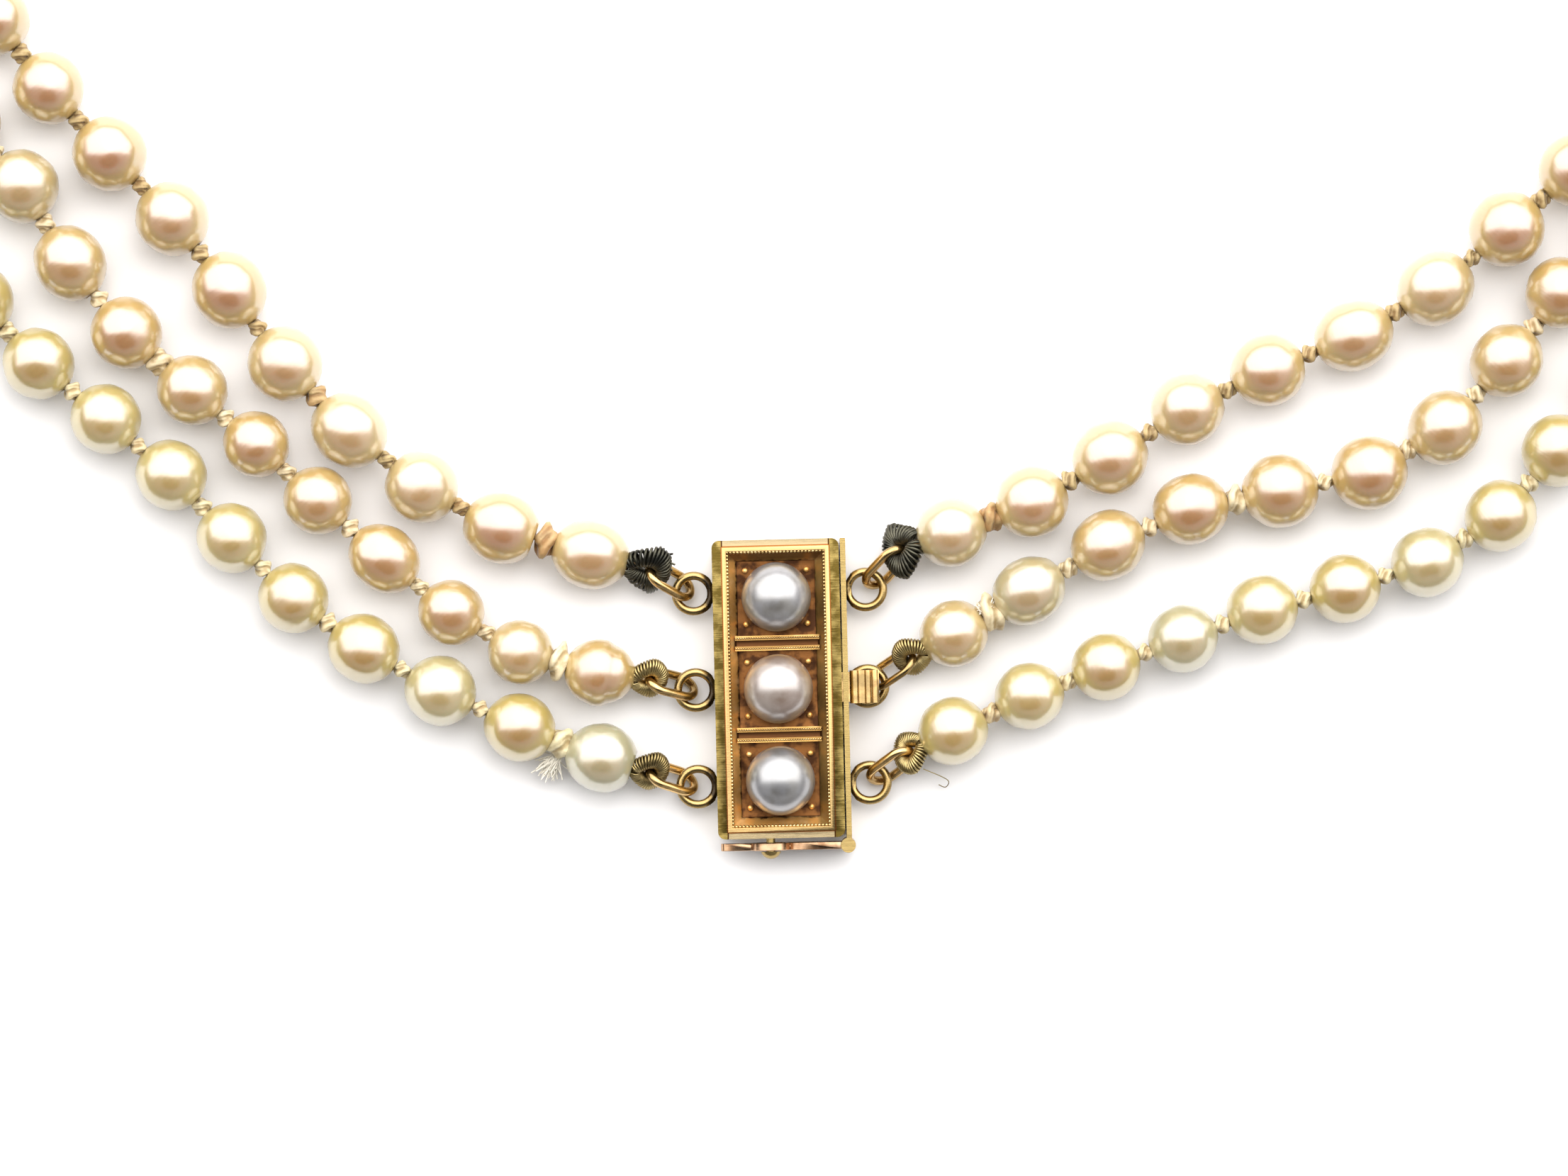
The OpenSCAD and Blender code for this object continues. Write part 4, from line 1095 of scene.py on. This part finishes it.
greyLooks = {
    "top": {"body": (0.155, 0.152, 0.158), "deep": (0.10, 0.093, 0.082)},
    "middle": {"body": (0.22, 0.175, 0.145), "deep": (0.155, 0.10, 0.07)},
    "bottom": {"body": (0.125, 0.125, 0.132), "deep": (0.08, 0.076, 0.069)},
}
greyShape = {"segments": 48, "rings": 32, "uneven": 0.01, "baseAngle": 40}
greyWear = {"clouds": 700.0, "pits": 3500.0, "bump": 0.12, "bumpDepth": 0.03}


def greyMaterial(name, look, w):
    material, tree, shader = newMaterial("greyNacre_" + name)
    place = surfacePlace(tree)
    cloud = cloudiness(tree, place, w["clouds"], 4.0)
    skin = ramp(tree, cloud, [(0.35, look["deep"]), (0.62, look["body"])], True)
    roughen(tree, shader, cloudiness(tree, place, w["pits"], 3.0), w["bump"], w["bumpDepth"])
    setSockets(tree, shader, {"Base Color": skin, "Roughness": 0.35, "IOR": 2.0, "Coat Weight": 1.0,
                              "Coat Roughness": 0.25, "Coat IOR": 2.4})
    return material


def makeGreyPearl(name, look, shape):
    # A smooth half drilled pearl with a flat base, slightly uneven
    low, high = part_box("grey_pearl_" + name)
    radius = (high.x - low.x) / 2
    centre = Vector(((low.x + high.x) / 2, (low.y + high.y) / 2, high.z - radius))
    work = bmesh.new()
    bmesh.ops.create_uvsphere(work, u_segments=shape["segments"], v_segments=shape["rings"], radius=1)
    seed = Vector((0.3, 0.7, 0.1)) * (1 + len(name))
    for vert in work.verts:
        swell = 1 + shape["uneven"] * noise.noise(vert.co * 1.3 + seed)
        place = centre + vert.co * radius * swell
        place.z = max(place.z, low.z)
        vert.co = place
    mesh = bpy.data.meshes.new("greyPearl_" + name)
    material = greyMaterial(name, look, greyWear)
    piece = addObject("pearl_grey_" + name, fillMesh(mesh, work, shape["baseAngle"], material))
    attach(piece, "necklace")
    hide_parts("grey_pearl_" + name)


for name, look in greyLooks.items():
    makeGreyPearl(name, look, greyShape)
for name in nodes:
    if name.startswith("ring_"):
        # The ring under the press piece keeps its thickness, so the press clears it
        swollen = None if name == "ring_right_middle" else 0
        goldCopy(name, "jump_" + name, "necklace", golds["wornGold"], angle=60, wireFrom=swollen)
print("clasp dressed")
